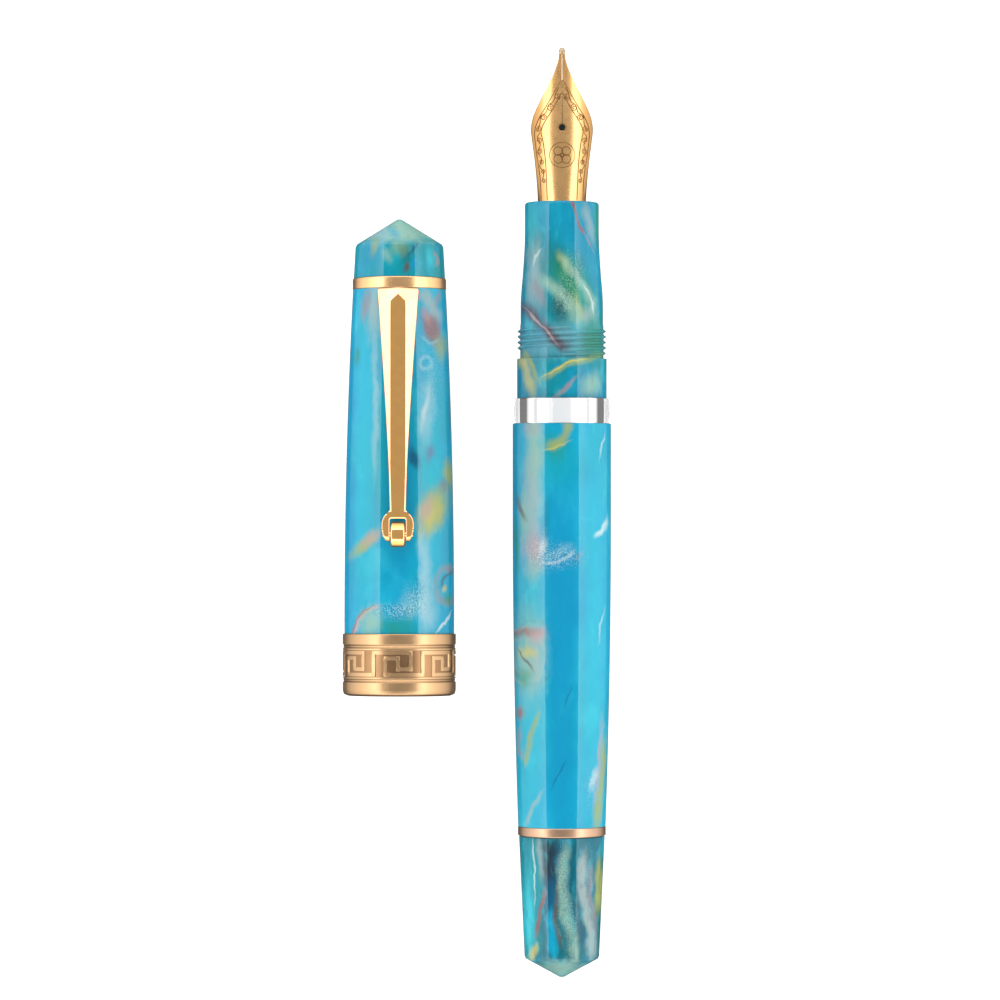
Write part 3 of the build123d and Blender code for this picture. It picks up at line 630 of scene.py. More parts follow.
sectionLook = {
    "roughness": 0.03,
    "offset": (4, 11, 7),
    "first": tint(0, 146, 180),
    "second": tint(0, 138, 156),
    "deepShare": 0.6,
    "skyShare": 0.4,
    "smoke": 0.2,
    "veins": [
        (0.22, 0.5, 0.05, "sage", 0.65),
        (0.2, 0.56, 0.04, "olive", 0.6),
        (0.24, 0.45, 0.03, "redBrown", 0.5),
    ],
    "grains": [(100.4, 1.6, 3.2, 1.2, 0.2), (97.4, 0.2, 2.4, 1.2, 0.25)],
    "rings": [],
    "patches": [
        ("greyPink", 100.6, -3.9, 4.6, 0.95, 0, 0.6, 0.65),
        ("mauve", 98.2, -3.3, 1.7, 0.6, -20, 0.6, 0.6),
        ("teal", 108.4, -4.4, 3.0, 0.7, 0, 0.6, 0.7),
        ("greyPink", [(110.4, 3.2), (108.2, 3.6), (105.6, 4.3)], 0.5, 0.6, 0.5),
        ("darkGreen", 100.6, 0.2, 4.0, 1.4, -24, 0.8, 0.8),
        ("green", 98.6, 1.4, 4.4, 2.2, -24, 0.8, 0.9),
        ("darkGreen", 95.8, -0.1, 2.2, 1.4, -20, 0.8, 0.85),
        ("olive", 102.4, 0.3, 1.4, 0.5, -30, 0.8, 0.6),
        ("olive", 96.0, 2.2, 1.4, 0.5, -20, 0.7, 0.7),
        ("sage", [(102.6, 0.3), (100.6, 1.6), (98.6, 3.2), (96.7, 4.4), (94.4, 4.5)], 0.5, 0.8, 0.75),
        ("white", [(98.8, 3.2), (97.0, 4.3), (95.4, 4.6)], 0.1, 0.6, 0.7),
        ("sage", [(99.8, -2.6), (98.2, -0.8), (96.6, 1.0), (95.2, 1.8), (93.6, 2.1)], 0.75, 0.8, 0.75),
        ("greyPink", [(95.6, 3.4), (93.8, 3.5)], 0.7, 0.6, 0.6),
        ("redBrown", [(111.1, 1.3), (108.8, 2.0), (107.3, 2.6), (106.4, 3.0)], 0.2, 0.5, 0.85),
        ("mauve", [(106.2, 3.2), (104.2, 4.3)], 0.14, 0.5, 0.7),
        ("green", 108.2, 5.0, 2.6, 0.5, 0, 0.5, 0.7),
        # painted glint: a short white streak
        ("white", [(104.1, -3.3), (103.2, -3.9), (102.2, -4.1)], 0.16, 0.8, 0.55),
        # painted highlight: a pearl wash over the thread, standing in for the glints on its crests
        ("pearl", 91.2, 0.0, 2.3, 8.0, 0, 0.5, 0.3),
        ("maroon", [(96.4, -5.5), (93.6, -3.2), (91.4, -1.1), (90.1, 0.4)], 0.8, 0.6, 0.8),
        ("pink", [(95.4, -4.8), (92.8, -2.5), (91.0, -0.9)], 0.18, 0.5, 0.8),
        ("yellow", [(88.9, -6.0), (87.2, -5.1), (83.4, -4.3)], 0.55, 0.8, 0.7),
        ("olive", [(89.4, -5.2), (87.6, -4.2), (85.4, -3.6)], 0.3, 0.6, 0.7),
        ("olive", [(86.0, -2.4), (87.4, 0.2), (88.3, 2.6), (89.3, 6.1)], 0.4, 0.8, 0.65),
        ("yellow", [(86.4, -2.2), (87.9, 0.8), (88.6, 3.2)], 0.14, 0.6, 0.8),
        ("mauve", [(83.0, -1.2), (84.4, 0.4), (85.6, 1.8)], 0.3, 0.6, 0.8),
        ("sage", 84.9, 4.1, 1.5, 1.1, 10, 0.6, 0.8),
        ("green", 91.0, 4.4, 2.4, 1.8, 0, 0.6, 0.7),
    ],
}

capLook = {
    "roughness": 0.03,
    "offset": (31, 2, 9),
    "first": tones["azure"],
    "second": tint(0, 166, 194),
    "deepShare": 0.4,
    "skyShare": 0.3,
    "smoke": 0.08,
    "veins": [(0.15, 0.57, 0.03, "olive", 0.3)],
    "grains": [(12.2, 0.2, 0.9, 3.0, 0.4), (14.0, 2.4, 1.8, 1.3, 0.35), (46, 4.6, 6, 1.6, 0.12)],
    "rings": [
        ("mauve", 15.8, 6.9, 2.4, 1.7, 0.4, 0.7),
        ("white", 47.4, 3.8, 0.9, 0.6, 0.5, 0.3),
    ],
    "patches": [
        # painted highlight and shade: deep strips down the middle and along the edge at side -7, paler
        # sky strips along both sides where the lamps' reflections fall
        ("deep", 30.0, 0.0, 24.0, 2.1, 0, 0.5, 0.6),
        ("sky", 34.0, -4.6, 22.0, 1.6, 0, 0.7, 0.35),
        ("sky", 30.0, 4.8, 18.0, 1.5, 0, 0.8, 0.35),
        ("deep", 34.0, -7.0, 26, 0.7, 0, 0.5, 0.7),
        ("teal", 36.0, -2.3, 7.5, 1.0, 0, 0.9, 0.5),
        ("deep", 30.0, 0.2, 8.0, 1.6, 0, 0.7, 0.6),
        ("greyPink", 55.0, -3.5, 3.6, 0.9, 4, 0.6, 0.75),
        ("mauve", 55.8, -4.7, 2.0, 0.5, 8, 0.6, 0.75),
        # painted highlight: a pale lilac streak along the inner edge of the lamps' reflection
        ("lilac", [(50.0, -3.4), (45.0, -3.3), (40.0, -3.3), (33.0, -3.4)], 0.36, 0.7, 0.6),
        ("green", 48.6, -6.1, 1.0, 0.35, 10, 0.6, 0.6),
        ("greyPink", [(57.6, 3.4), (55.6, 4.6), (53.6, 5.6)], 0.8, 0.6, 0.7),
        ("mauve", 56.4, 5.6, 1.2, 0.4, 20, 0.6, 0.6),
        ("redBrown", 52.3, 4.7, 2.3, 1.2, -24, 0.4, 0.8),
        ("pink", 54.0, 4.0, 1.0, 0.5, -24, 0.6, 0.5),
        ("olive", 49.8, 6.0, 1.6, 0.8, 6, 0.8, 0.6),
        ("pearl", [(51.0, 3.3), (50.2, 4.5), (50.6, 5.8)], 0.2, 0.9, 0.45),
        ("lilac", 40.5, 4.1, 4.2, 0.85, 4, 0.7, 0.75),
        ("white", 40.8, 3.8, 2.2, 0.3, 10, 0.7, 0.5),
        ("navy", 33.7, 2.2, 1.3, 0.7, -20, 0.5, 0.85),
        ("purple", 34.5, 4.5, 1.1, 0.6, 10, 0.6, 0.6),
        ("olive", 31.6, 7.0, 1.8, 0.55, 0, 0.5, 0.8),
        ("purple", 29.8, 6.3, 0.9, 0.5, 0, 0.5, 0.6),
        ("olive", 26.4, 5.0, 3.2, 1.7, 20, 0.5, 0.8),
        ("yellow", 25.6, 4.6, 2.2, 1.1, 20, 0.8, 0.7),
        ("pink", 26.6, 4.0, 1.6, 0.7, 20, 0.8, 0.6),
        ("lilac", [(22.4, 3.6), (18.6, 3.8), (15.4, 3.9), (11.0, 3.9)], 0.75, 0.6, 0.7),
        ("olive", 21.6, -4.6, 2.4, 0.8, 50, 0.6, 0.8),
        ("pink", 22.4, -3.8, 1.4, 0.7, 50, 0.8, 0.6),
        ("maroon", [(17.6, 7.3), (16.6, 6.3), (15.4, 6.0)], 0.22, 0.6, 0.6),
        ("yellow", 15.3, 6.5, 0.5, 0.3, 30, 0.6, 0.8),
        ("green", 13.8, 7.0, 0.8, 0.5, 0, 0.6, 0.6),
        ("lilac", 11.6, 4.4, 2.2, 1.1, 0, 0.7, 0.7),
        ("pearl", 13.0, 1.8, 1.6, 1.4, 0, 0.9, 0.4),
        ("green", 9.8, -0.6, 1.2, 2.6, 0, 0.7, 0.6),
        ("pink", [(12.8, -2.9), (12.2, -4.4), (10.8, -5.6), (9.0, -6.3)], 0.3, 0.5, 0.8),
        ("redBrown", [(12.9, -3.4), (12.3, -4.8), (10.6, -6.0), (9.0, -6.6)], 0.14, 0.5, 0.8),
        ("sage", 10.6, -4.0, 1.9, 1.3, 20, 0.8, 0.8),
        ("white", [(9.1, 5.6), (10.4, 6.6), (11.9, 7.5)], 0.16, 0.5, 0.8),
    ],
}

finialLook = {
    "roughness": 0.03,
    "offset": (31, 2, 9),
    "first": tint(0, 152, 176),
    "second": tint(0, 146, 154),
    "deepShare": 0.6,
    "skyShare": 0.4,
    "smoke": 0.25,
    "veins": [(0.25, 0.5, 0.05, "pearl", 0.5), (0.2, 0.56, 0.04, "olive", 0.5)],
    "grains": [],
    "rings": [],
    "patches": [
        ("teal", 62.0, 0.4, 2.4, 2.6, 0, 0.6, 0.7),
        ("sage", 66.8, 0.6, 2.0, 6.5, 0, 0.4, 0.85),
        ("lilac", 66.4, -3.2, 1.6, 1.8, 0, 0.6, 0.7),
        ("azure", [(66.9, -1.0), (65.6, -0.4)], 0.5, 0.7, 0.6),
        ("olive", 64.0, -3.5, 1.3, 0.5, 10, 0.9, 0.6),
        ("olive", 63.6, 0.4, 0.9, 1.1, 0, 0.9, 0.5),
        ("sage", 62.6, -1.6, 0.9, 0.5, -30, 0.9, 0.6),
        ("darkGreen", 62.6, 1.2, 1.8, 1.0, 10, 0.8, 0.6),
        ("navy", [(64.2, 2.7), (63.4, 1.9), (62.8, 1.25)], 0.22, 0.5, 0.8),
        ("brown", 61.0, 1.0, 0.7, 0.35, 20, 0.6, 0.85),
        ("deep", 61.6, 2.1, 1.0, 0.5, 0, 0.6, 0.85),
        ("sky", 62.3, 4.6, 1.6, 0.6, 0, 0.6, 0.6),
        ("mauve", [(63.2, 5.2), (62.3, 5.5), (61.4, 5.4)], 0.2, 0.5, 0.8),
    ],
}

knobAcrylic = swirledAcrylic("knobAcrylic", penPlace, knobLook)
barrelAcrylic = swirledAcrylic("barrelAcrylic", penPlace, barrelLook)
sectionAcrylic = swirledAcrylic("sectionAcrylic", penPlace, sectionLook)
capAcrylic = swirledAcrylic("capAcrylic", capPlace, capLook)
finialAcrylic = swirledAcrylic("finialAcrylic", capPlace, finialLook)

goldColours = {
    "plate": (0.95, 0.52, 0.17, 1),
    # painted shade: the plate gold darkened for the clip's sloped faces, so that their highlight reads
    # cream
    "bevel": (0.78, 0.41, 0.22, 1),
    "trim": (0.74, 0.45, 0.22, 1),
    "ring": (0.47, 0.30, 0.2, 1),
    "band": (0.49, 0.31, 0.165, 1),
    "nib": (0.72, 0.43, 0.18, 1),
    # painted shade for the nib's sides and tip
    "nibPaintedShade": (0.46, 0.25, 0.09, 1),
    "engraved": (0.22, 0.105, 0.035, 1),
    "patina": (0.28, 0.16, 0.08, 1),
}


def unevenGloss(name, colour, roughness, spread, wear=0.0, grain=0.7, metallic=1.0):
    # a metal or plastic with slightly uneven gloss, and a darker tone where it is worn
    material = principled(name, colour, metallic, roughness)
    tree = material.node_tree
    shader = tree.nodes["Principled BSDF"]
    coordinates = addNode(tree, "ShaderNodeTexCoord", {})
    level, _ = noise(tree, coordinates.outputs["Object"], grain * 1000, 2.0, 0.5)
    gloss = ramp(tree, level, 0.3, 0.7, roughness - spread, roughness + spread)
    tree.links.new(gloss, shader.inputs["Roughness"])
    if wear:
        darker = tuple(c * (1 - wear) for c in colour[:3]) + (1,)
        tone = mixColours(tree, ramp(tree, level, 0.35, 0.65), colour, darker)
        tree.links.new(tone, shader.inputs["Base Color"])
    return material


goldPlate = unevenGloss("goldPlate", goldColours["plate"], 0.13, 0.03, 0.05)
bevelShadedGold = unevenGloss("bevelShadedGold", goldColours["bevel"], 0.2, 0.03, 0.04)
ringGold = unevenGloss("ringGold", goldColours["ring"], 0.34, 0.03, 0.05)
trimGold = unevenGloss("trimGold", goldColours["trim"], 0.3, 0.03, 0.05)
nibGold = unevenGloss("nibGold", goldColours["nib"], 0.28, 0.02, 0.04)
nibEngraved = unevenGloss("nibEngraved", goldColours["engraved"], 0.4, 0.05, 0.2, 1.2)
bandGold = unevenGloss("bandGold", goldColours["band"], 0.33, 0.03, 0.06)

# painted shade: the nib's colour darkens towards its sides and its tip, where the lamps' reflection
# falls away
nibTree = nibGold.node_tree
nibLocal = addNode(nibTree, "ShaderNodeSeparateXYZ", {0: localCoordinates(nibTree, penPlace)})
nibSide = gapFrom(nibTree, 0.0, nibLocal.outputs[1])
nibShadeShare = mathNode(
    nibTree,
    "MAXIMUM",
    ramp(nibTree, nibSide, 2.1, 3.6, 0.0, 0.85),
    ramp(nibTree, nibLocal.outputs[0], 125.5, 131.0, 0.0, 0.8),
)
nibShadedTone = mixColours(nibTree, nibShadeShare, goldColours["nib"], goldColours["nibPaintedShade"])
nibTree.links.new(nibShadedTone, nibTree.nodes["Principled BSDF"].inputs["Base Color"])

# the sunken floor of the band is darker than the raised line
bandTree = bandGold.node_tree
bandShader = bandTree.nodes["Principled BSDF"]
bandLocal = addNode(bandTree, "ShaderNodeSeparateXYZ", {0: localCoordinates(bandTree, capPlace)})
bandSide = addNode(
    bandTree, "ShaderNodeCombineXYZ", {1: bandLocal.outputs[1], 2: bandLocal.outputs[2]}
)
bandRadius = vectorNode(bandTree, "LENGTH", bandSide.outputs[0])
sunken = ramp(bandTree, bandRadius, 8.03, 7.9)
bandTone = mixColours(bandTree, sunken, goldColours["band"], goldColours["patina"])
bandTree.links.new(bandTone, bandShader.inputs["Base Color"])

blackPlastic = unevenGloss("blackPlastic", tint(18, 18, 20), 0.32, 0.08, 0.4, 1.5, 0.0)
rubber = unevenGloss("rubber", tint(26, 26, 26), 0.6, 0.1, 0.4, 2.0, 0.0)
brass = unevenGloss("brass", (0.80, 0.60, 0.27, 1), 0.25, 0.06, 0.12, 0.9)
springSteel = unevenGloss("springSteel", (0.62, 0.62, 0.64, 1), 0.25, 0.05, 0.1, 0.9)
tipMetal = unevenGloss("tipMetal", (0.36, 0.27, 0.16, 1), 0.34, 0.04, 0.12, 1.5)
clearAcrylic = principled(
    "clearAcrylic",
    tint(236, 240, 240),
    0.0,
    0.02,
    IOR=1.49,
    Transmission_Weight=1.0,
)

# painted shade: the window's colour turns grey where its surface turns away from the view, standing in
# for the darker refraction at its sides
glassTree = clearAcrylic.node_tree
facing = addNode(glassTree, "ShaderNodeLayerWeight", {"Blend": 0.5}).outputs["Facing"]
glassEdgeShade = mixColours(
    glassTree, ramp(glassTree, facing, 0.42, 0.62), tint(246, 247, 248), tint(150, 150, 154)
)
glassTree.links.new(glassEdgeShade, glassTree.nodes["Principled BSDF"].inputs["Base Color"])

slotMaterials = {
    "black_plastic": blackPlastic,
    "rubber": rubber,
    "brass": brass,
    "spring_steel": springSteel,
    "tip_metal": tipMetal,
    "clear_acrylic": clearAcrylic,
    "gold_plate": goldPlate,
    "gold_nib": nibGold,
}
innerParts = {
    "feed": "black_plastic",
    "nib_housing": "black_plastic",
    "cap_liner": "black_plastic",
    "piston_head": "black_plastic",
    "plunger_tube": "black_plastic",
    "piston_sleeve": "brass",
    "drive_spindle": "brass",
    "finial_stud": "brass",
    "spindle_clip": "spring_steel",
    "sleeve_o_ring": "rubber",
    "section_o_ring": "rubber",
    "nib_unit_o_ring": "rubber",
    "piston_rear_seal": "rubber",
    "piston_front_seal": "rubber",
    "clip_washer": "gold_plate",
    "roller_axle": "gold_plate",
}
for nodeName, slotName in innerParts.items():
    mesh = nodes[nodeName].data
    mesh.materials.clear()
    mesh.materials.append(slotMaterials[slotName])
    nodes[nodeName].visible_glossy = False
print("materials made")


# Pen: turned pieces, as (station, radius, rounding) outlines

pen = {
    "knobEdge": 20.3,
    "knobEdgeRadius": 6.14,
    "ringStart": 20.4,
    "ringRadius": 6.3,
    "barrelStart": 21.7,
    "barrelStraight": 66.0,
    "barrelRadius": 7.05,
    "barrelTaper": 0.78,
    "windowStart": 79.4,
    "windowRadius": 6.88,
    "windowEnd": 83.0,
    "sleeveRadius": 4.65,
    "sleeveEnd": 29.6,
    "chamberRadius": 5.6,
    "chamberBore": 4.05,
    "chamberEnd": 87.9,
    "neckRadius": 5.4,
    "shoulderRadius": 6.42,
    "threadStart": 88.7,
    "threadEnd": 93.3,
    "threadRoot": 5.98,
    "threadCrest": 6.36,
    "threadSpacing": 0.8,
    "gripEnd": 111.1,
    "gripEndRadius": 5.3,
}

newPiece(
    "knobBody",
    lathe(
        softened(
            [
                (0, 0),
                (0.02, 0.3, 0.25),
                (2.72, 5.2, 0.12),
                (3.1, 5.36, 0.2),
                (pen["knobEdge"], pen["knobEdgeRadius"], 0.12),
                (pen["knobEdge"], 4.7),
                (14.4, 4.7),
                (14.4, 4.0),
                (7.5, 4.0),
                (7.5, 0),
            ]
        )
    ),
    penPlace,
    [knobAcrylic],
    "knob",
    ["piston_knob"],
)

newPiece(
    "barrelRing",
    lathe(
        softened(
            [
                (pen["ringStart"], pen["sleeveRadius"]),
                (pen["ringStart"], pen["ringRadius"], 0.14),
                (pen["barrelStart"], pen["ringRadius"], 0.14),
                (pen["barrelStart"], pen["sleeveRadius"]),
            ],
            6,
        )
    ),
    penPlace,
    [ringGold],
    "pen",
    ["barrel_ring"],
)

# the barrel tapers towards the knob along a parabola
barrelCurve = []
taperLength = pen["barrelStraight"] - pen["barrelStart"]
for step in range(25):
    station = pen["barrelStart"] + taperLength * step / 24
    drop = (pen["barrelStraight"] - station) / taperLength
    barrelCurve.append((station, pen["barrelRadius"] - pen["barrelTaper"] * drop**2))
newPiece(
    "barrelBody",
    lathe(
        softened(
            [
                (pen["barrelStart"], pen["sleeveRadius"]),
                (*barrelCurve[0], 0.08),
                *barrelCurve[1:],
                (pen["windowStart"], pen["barrelRadius"], 0.1),
                (pen["windowStart"], pen["chamberRadius"]),
                (pen["sleeveEnd"], pen["chamberRadius"]),
                (pen["sleeveEnd"], pen["sleeveRadius"]),
            ]
        ),
        192,
    ),
    penPlace,
    [barrelAcrylic],
    "pen",
    ["barrel"],
)

newPiece(
    "inkWindow",
    lathe(
        softened(
            [
                (pen["sleeveEnd"], pen["chamberBore"]),
                (pen["chamberEnd"], pen["chamberBore"]),
                (pen["chamberEnd"], pen["neckRadius"]),
                (pen["windowEnd"], pen["neckRadius"]),
                (pen["windowEnd"], pen["windowRadius"], 0.1),
                (pen["windowStart"], pen["windowRadius"], 0.1),
                (pen["windowStart"], pen["chamberRadius"]),
                (pen["sleeveEnd"], pen["chamberRadius"]),
            ]
        ),
        192,
    ),
    penPlace,
    [clearAcrylic],
    "pen",
    ["ink_chamber"],
)

gripTable = [(93.3, 5.91), (97.4, 5.87), (101.2, 5.57), (105.4, 5.33), (110.7, 5.3)]
gripStations = [pen["threadEnd"] + 0.58 * step for step in range(1, 30)]
gripShape = lathe(
    softened(
        [
            (pen["gripEnd"], 4.08),
            (93.5, 4.08),
            (93.5, 2.2),
            (88.6, 2.2),
            (88.6, pen["neckRadius"]),
            (pen["windowEnd"], pen["neckRadius"]),
            (pen["windowEnd"], pen["shoulderRadius"], 0.08),
            (pen["threadStart"], pen["shoulderRadius"], 0.1),
            (pen["threadStart"], pen["threadRoot"]),
            (pen["threadEnd"], pen["threadRoot"]),
            *[(station, splineValue(gripTable, station)) for station in gripStations],
            (pen["gripEnd"], pen["gripEndRadius"], 0.4),
        ]
    )
)
sectionThread = {
    "first": 89.05,
    "last": 93.1,
    "starts": 2,
    "spacing": pen["threadSpacing"],
    "root": pen["threadRoot"],
    "crest": pen["threadCrest"],
}
threadRidge(gripShape, sectionThread)
newPiece(
    "gripSection",
    gripShape,
    penPlace,
    [sectionAcrylic],
    "pen",
    ["grip_section"],
    merge=0.0005,
)
print("pen body made")

# Cap: turned pieces, as outlines again

cap = {
    "lip": 0.75,
    "seatRadius": 7.25,
    "tubeStart": 8.85,
    "tubeStartRadius": 7.85,
    "tubeMiddle": 33.475,
    "tubeMiddleRadius": 7.59,
    "tubeEnd": 58.1,
    "tubeEndRadius": 6.66,
    "ringEnd": 59.7,
    "ringRadius": 6.7,
    "mouthRadius": 6.52,
    "boreRadius": 6.1,
    "linerRadius": 5.6,
    "finialSeat": 63.6,
    "finialRadius": 6.56,
    "finialTip": 68.3,
    "bandRadius": 8.1,
}

tubeCurve = arcPoints(
    (cap["tubeStart"], cap["tubeStartRadius"]),
    (cap["tubeMiddle"], cap["tubeMiddleRadius"]),
    (cap["tubeEnd"], cap["tubeEndRadius"]),
    30,
)
tubeShape = lathe(
    softened(
        [
            (cap["lip"], cap["seatRadius"]),
            (cap["tubeStart"], cap["seatRadius"]),
            (cap["tubeStart"], cap["tubeStartRadius"], 0.06),
            *tubeCurve[1:-1],
            (cap["tubeEnd"], cap["tubeEndRadius"], 0.06),
            (cap["tubeEnd"], 4.7),
            (57.45, 4.7),
            (57.45, 2.0),
            (54.6, 2.0),
            (54.6, 3.4),
            (53.6, 3.4),
            (53.6, cap["linerRadius"]),
            (28.2, cap["linerRadius"]),
            (28.2, cap["boreRadius"]),
            (10.9, cap["boreRadius"]),
            (10.6, 6.45),
            (5.5, cap["mouthRadius"]),
            (cap["lip"], cap["mouthRadius"]),
        ]
    ),
    192,
)
throatThread = {
    "first": 5.9,
    "last": 10.3,
    "starts": 2,
    "spacing": pen["threadSpacing"],
    "root": 6.47,
    "crest": 6.12,
}
threadRidge(tubeShape, throatThread, inward=True)
newPiece(
    "capTube",
    tubeShape,
    capPlace,
    [capAcrylic],
    "cap",
    ["cap_tube"],
    merge=0.0005,
)

newPiece(
    "clipRing",
    lathe(
        softened(
            [
                (cap["tubeEnd"], 2.05),
                (cap["tubeEnd"], cap["ringRadius"], 0.16),
                (cap["ringEnd"], cap["ringRadius"], 0.16),
                (cap["ringEnd"], 2.05),
            ],
            6,
        )
    ),
    capPlace,
    [trimGold],
    "cap",
    ["clip_ring"],
)

newPiece(
    "finialBody",
    lathe(
        softened(
            [
                (cap["ringEnd"], 2.0),
                (cap["finialSeat"], 2.0),
                (cap["finialSeat"], 0),
                (cap["finialTip"], 0),
                (68.27, 0.3, 0.2),
                (64.66, 6.08, 0.2),
                (64.25, 6.3, 0.2),
                (cap["ringEnd"], cap["finialRadius"], 0.08),
            ]
        )
    ),
    capPlace,
    [finialAcrylic],
    "cap",
    ["finial"],
)

# the band: two plain collars with a bead each, and a sunken floor between
bandShape = lathe(
    softened(
        [
            (cap["lip"], cap["seatRadius"]),
            (cap["lip"], cap["mouthRadius"]),
            (0, cap["mouthRadius"], 0.08),
            (0, 7.35, 0.3),
            (0.25, 7.95, 0.25),
            (0.8, cap["bandRadius"], 0.15),
            (1.95, cap["bandRadius"], 0.04),
            (2.08, 7.9, 0.04),
            (2.25, 8.05, 0.08),
            (2.42, 7.9, 0.04),
            (2.5, 8.06, 0.03),
            (2.72, 8.06, 0.03),
            (2.76, 7.84, 0.02),
            (6.5, 7.84, 0.02),
            (6.54, 8.06, 0.03),
            (6.8, 8.06, 0.03),
            (6.9, 7.9, 0.04),
            (7.07, 8.05, 0.08),
            (7.24, 7.9, 0.04),
            (7.37, cap["bandRadius"], 0.04),
            (cap["tubeStart"], cap["bandRadius"], 0.12),
            (cap["tubeStart"], cap["seatRadius"]),
        ],
        3,
    ),
    224,
)

# one repeat of the Greek key is eight columns wide and four rows high
keyPath = [(0, 0), (0, 4), (6, 4), (6, 1), (4, 1), (4, 3), (2, 3), (2, 0), (8, 0)]
keyLook = {
    "repeats": 7,
    "columns": 8,
    "rows": 4,
    "low": 2.83,
    "row": 0.78,
    "line": 0.52,
    "floor": 7.8,
    "top": 8.08,
    "edge": 0.07,
}
columns = keyLook["columns"] * keyLook["repeats"]
# the grid holds a bar and a gap for each column, and for each row between the end bars
cellsAcross = 2 * columns
cellsAlong = 2 * keyLook["rows"] + 1
covered = set()
for first, last in zip(keyPath, keyPath[1:]):
    columnEnds = sorted((first[0], last[0]))
    rowEnds = sorted((first[1], last[1]))
    for repeat in range(keyLook["repeats"]):
        for across in range(2 * columnEnds[0], 2 * columnEnds[1] + 1):
            for along in range(2 * rowEnds[0], 2 * rowEnds[1] + 1):
                turned = (across + 2 * keyLook["columns"] * repeat) % cellsAcross
                covered.add((turned, along))
keyShape = bmesh.new()
bmesh.ops.create_grid(keyShape, x_segments=cellsAcross, y_segments=cellsAlong, size=1)
columnAngle = math.tau / columns
lineAngle = keyLook["line"] / keyLook["top"] / 2
unwanted = []
for face in keyShape.faces:
    spot = face.calc_center_median()
    across = math.floor((spot.x + 1) / 2 * cellsAcross)
    along = math.floor((spot.y + 1) / 2 * cellsAlong)
    if (across, along) not in covered:
        unwanted.append(face)
for corner in keyShape.verts:
    # even lines start a bar and odd lines end it
    across = round((corner.co.x + 1) / 2 * cellsAcross)
    along = round((corner.co.y + 1) / 2 * cellsAlong)
    angle = (across // 2) * columnAngle + (lineAngle if across % 2 else -lineAngle)
    station = keyLook["low"] + (along // 2) * keyLook["row"]
    if along % 2:
        station += keyLook["line"]
    corner.co = (angle, station, 0)
bmesh.ops.delete(keyShape, geom=unwanted, context="FACES")
raised = bmesh.ops.extrude_face_region(keyShape, geom=list(keyShape.faces), use_keep_orig=True)
raisedCorners = [v for v in raised["geom"] if isinstance(v, bmesh.types.BMVert)]
for corner in raisedCorners:
    corner.co.z = 1
topFaces = [f for f in keyShape.faces if all(v.co.z > 0.5 for v in f.verts)]
rimEdges = [
    e
    for e in keyShape.edges
    if all(v.co.z > 0.5 for v in e.verts) and any(f not in topFaces for f in e.link_faces)
]
for corner in keyShape.verts:
    corner.co.z *= keyLook["top"] - keyLook["floor"]
    corner.co.x *= keyLook["top"]
bmesh.ops.bevel(
    keyShape,
    geom=rimEdges,
    offset=keyLook["edge"],
    segments=2,
    profile=0.5,
    affect="EDGES",
    material=-1,
)
for corner in keyShape.verts:
    # columns rise towards row -Y, with column 4 at the top
    angle = corner.co.x / keyLook["top"] - 4 * columnAngle
    radius = keyLook["floor"] + corner.co.z
    corner.co = (corner.co.y, -radius * math.sin(angle), radius * math.cos(angle))
keyMesh = bpy.data.meshes.new("keyLine")
bmesh.ops.remove_doubles(keyShape, verts=keyShape.verts, dist=0.002)
bmesh.ops.recalc_face_normals(keyShape, faces=keyShape.faces)
keyShape.to_mesh(keyMesh)
keyShape.free()
bandShape.from_mesh(keyMesh)
bpy.data.meshes.remove(keyMesh)
newPiece(
    "capBand",
    bandShape,
    capPlace,
    [bandGold],
    "cap",
    ["cap_band"],
    sharp=40,
    merge=0.0004,
)
print("cap body made")

# Clip

clipLook = {
    "bend": 56.3,
    "bladeEnd": 25.4,
    "ridgeTop": 9.4,
    "ridgeEnd": 10.2,
    "sheet": 1.15,
    "slope": math.tan(math.radians(24)),
    "rim": 0.06,
}
bladeHalves = [
    (25.4, 1.1),
    (28.0, 1.16),
    (32.3, 1.28),
    (37.0, 1.52),
    (42.3, 1.83),
    (46.0, 2.08),
    (50.0, 2.35),
    (53.2, 2.58),
    (56.3, 2.8),
    (57.2, 2.87),
    (58.3, 2.93),
]


def ridgeHeight(station):
    share = (clipLook["bend"] - station) / (clipLook["bend"] - clipLook["bladeEnd"])
    return clipLook["ridgeTop"] + share * (clipLook["ridgeEnd"] - clipLook["ridgeTop"])


def clipLoop(shape, ridgePoint, edgePoint, backPoint):
    # one closed loop round the clip: ridge, bevels, sides and the flat back
    rim = clipLook["rim"]
    ridgeStation, ridge, top = ridgePoint
    station, half, edge = edgePoint
    behind, back = backPoint
    points = [
        (ridgeStation, -ridge, top),
        (ridgeStation, ridge, top),
        (station, half - rim, edge + rim * 0.45),
        (station, half, edge - rim),
        (behind, half, back + rim),
        (behind, half - rim, back),
        (behind, -half + rim, back),
        (behind, -half, back + rim),
        (station, -half, edge - rim),
        (station, -half + rim, edge + rim * 0.45),
    ]
    corners = [shape.verts.new(point) for point in points]
    return corners, [
        shape.edges.new((corners[index - 1], corners[index])) for index in range(len(corners))
    ]


clipShape = bmesh.new()
loops = []
bladeStations = [25.4, 25.9, 27, 28.6, 30.4, 32.3, 34.6, 37, 39.6]
bladeStations += [42.3, 44.2, 46, 48, 50, 51.6, 53.2, 54.8]
for station in bladeStations:
    half = splineValue(bladeHalves, station)
    ridge = min(1.08, half - 0.2)
    top = ridgeHeight(station)
    edge = top - (half - ridge) * clipLook["slope"]
    loops.append(
        clipLoop(
            clipShape,
            (station, ridge, top),
            (station, half, edge),
            (station, top - clipLook["sheet"]),
        )
    )
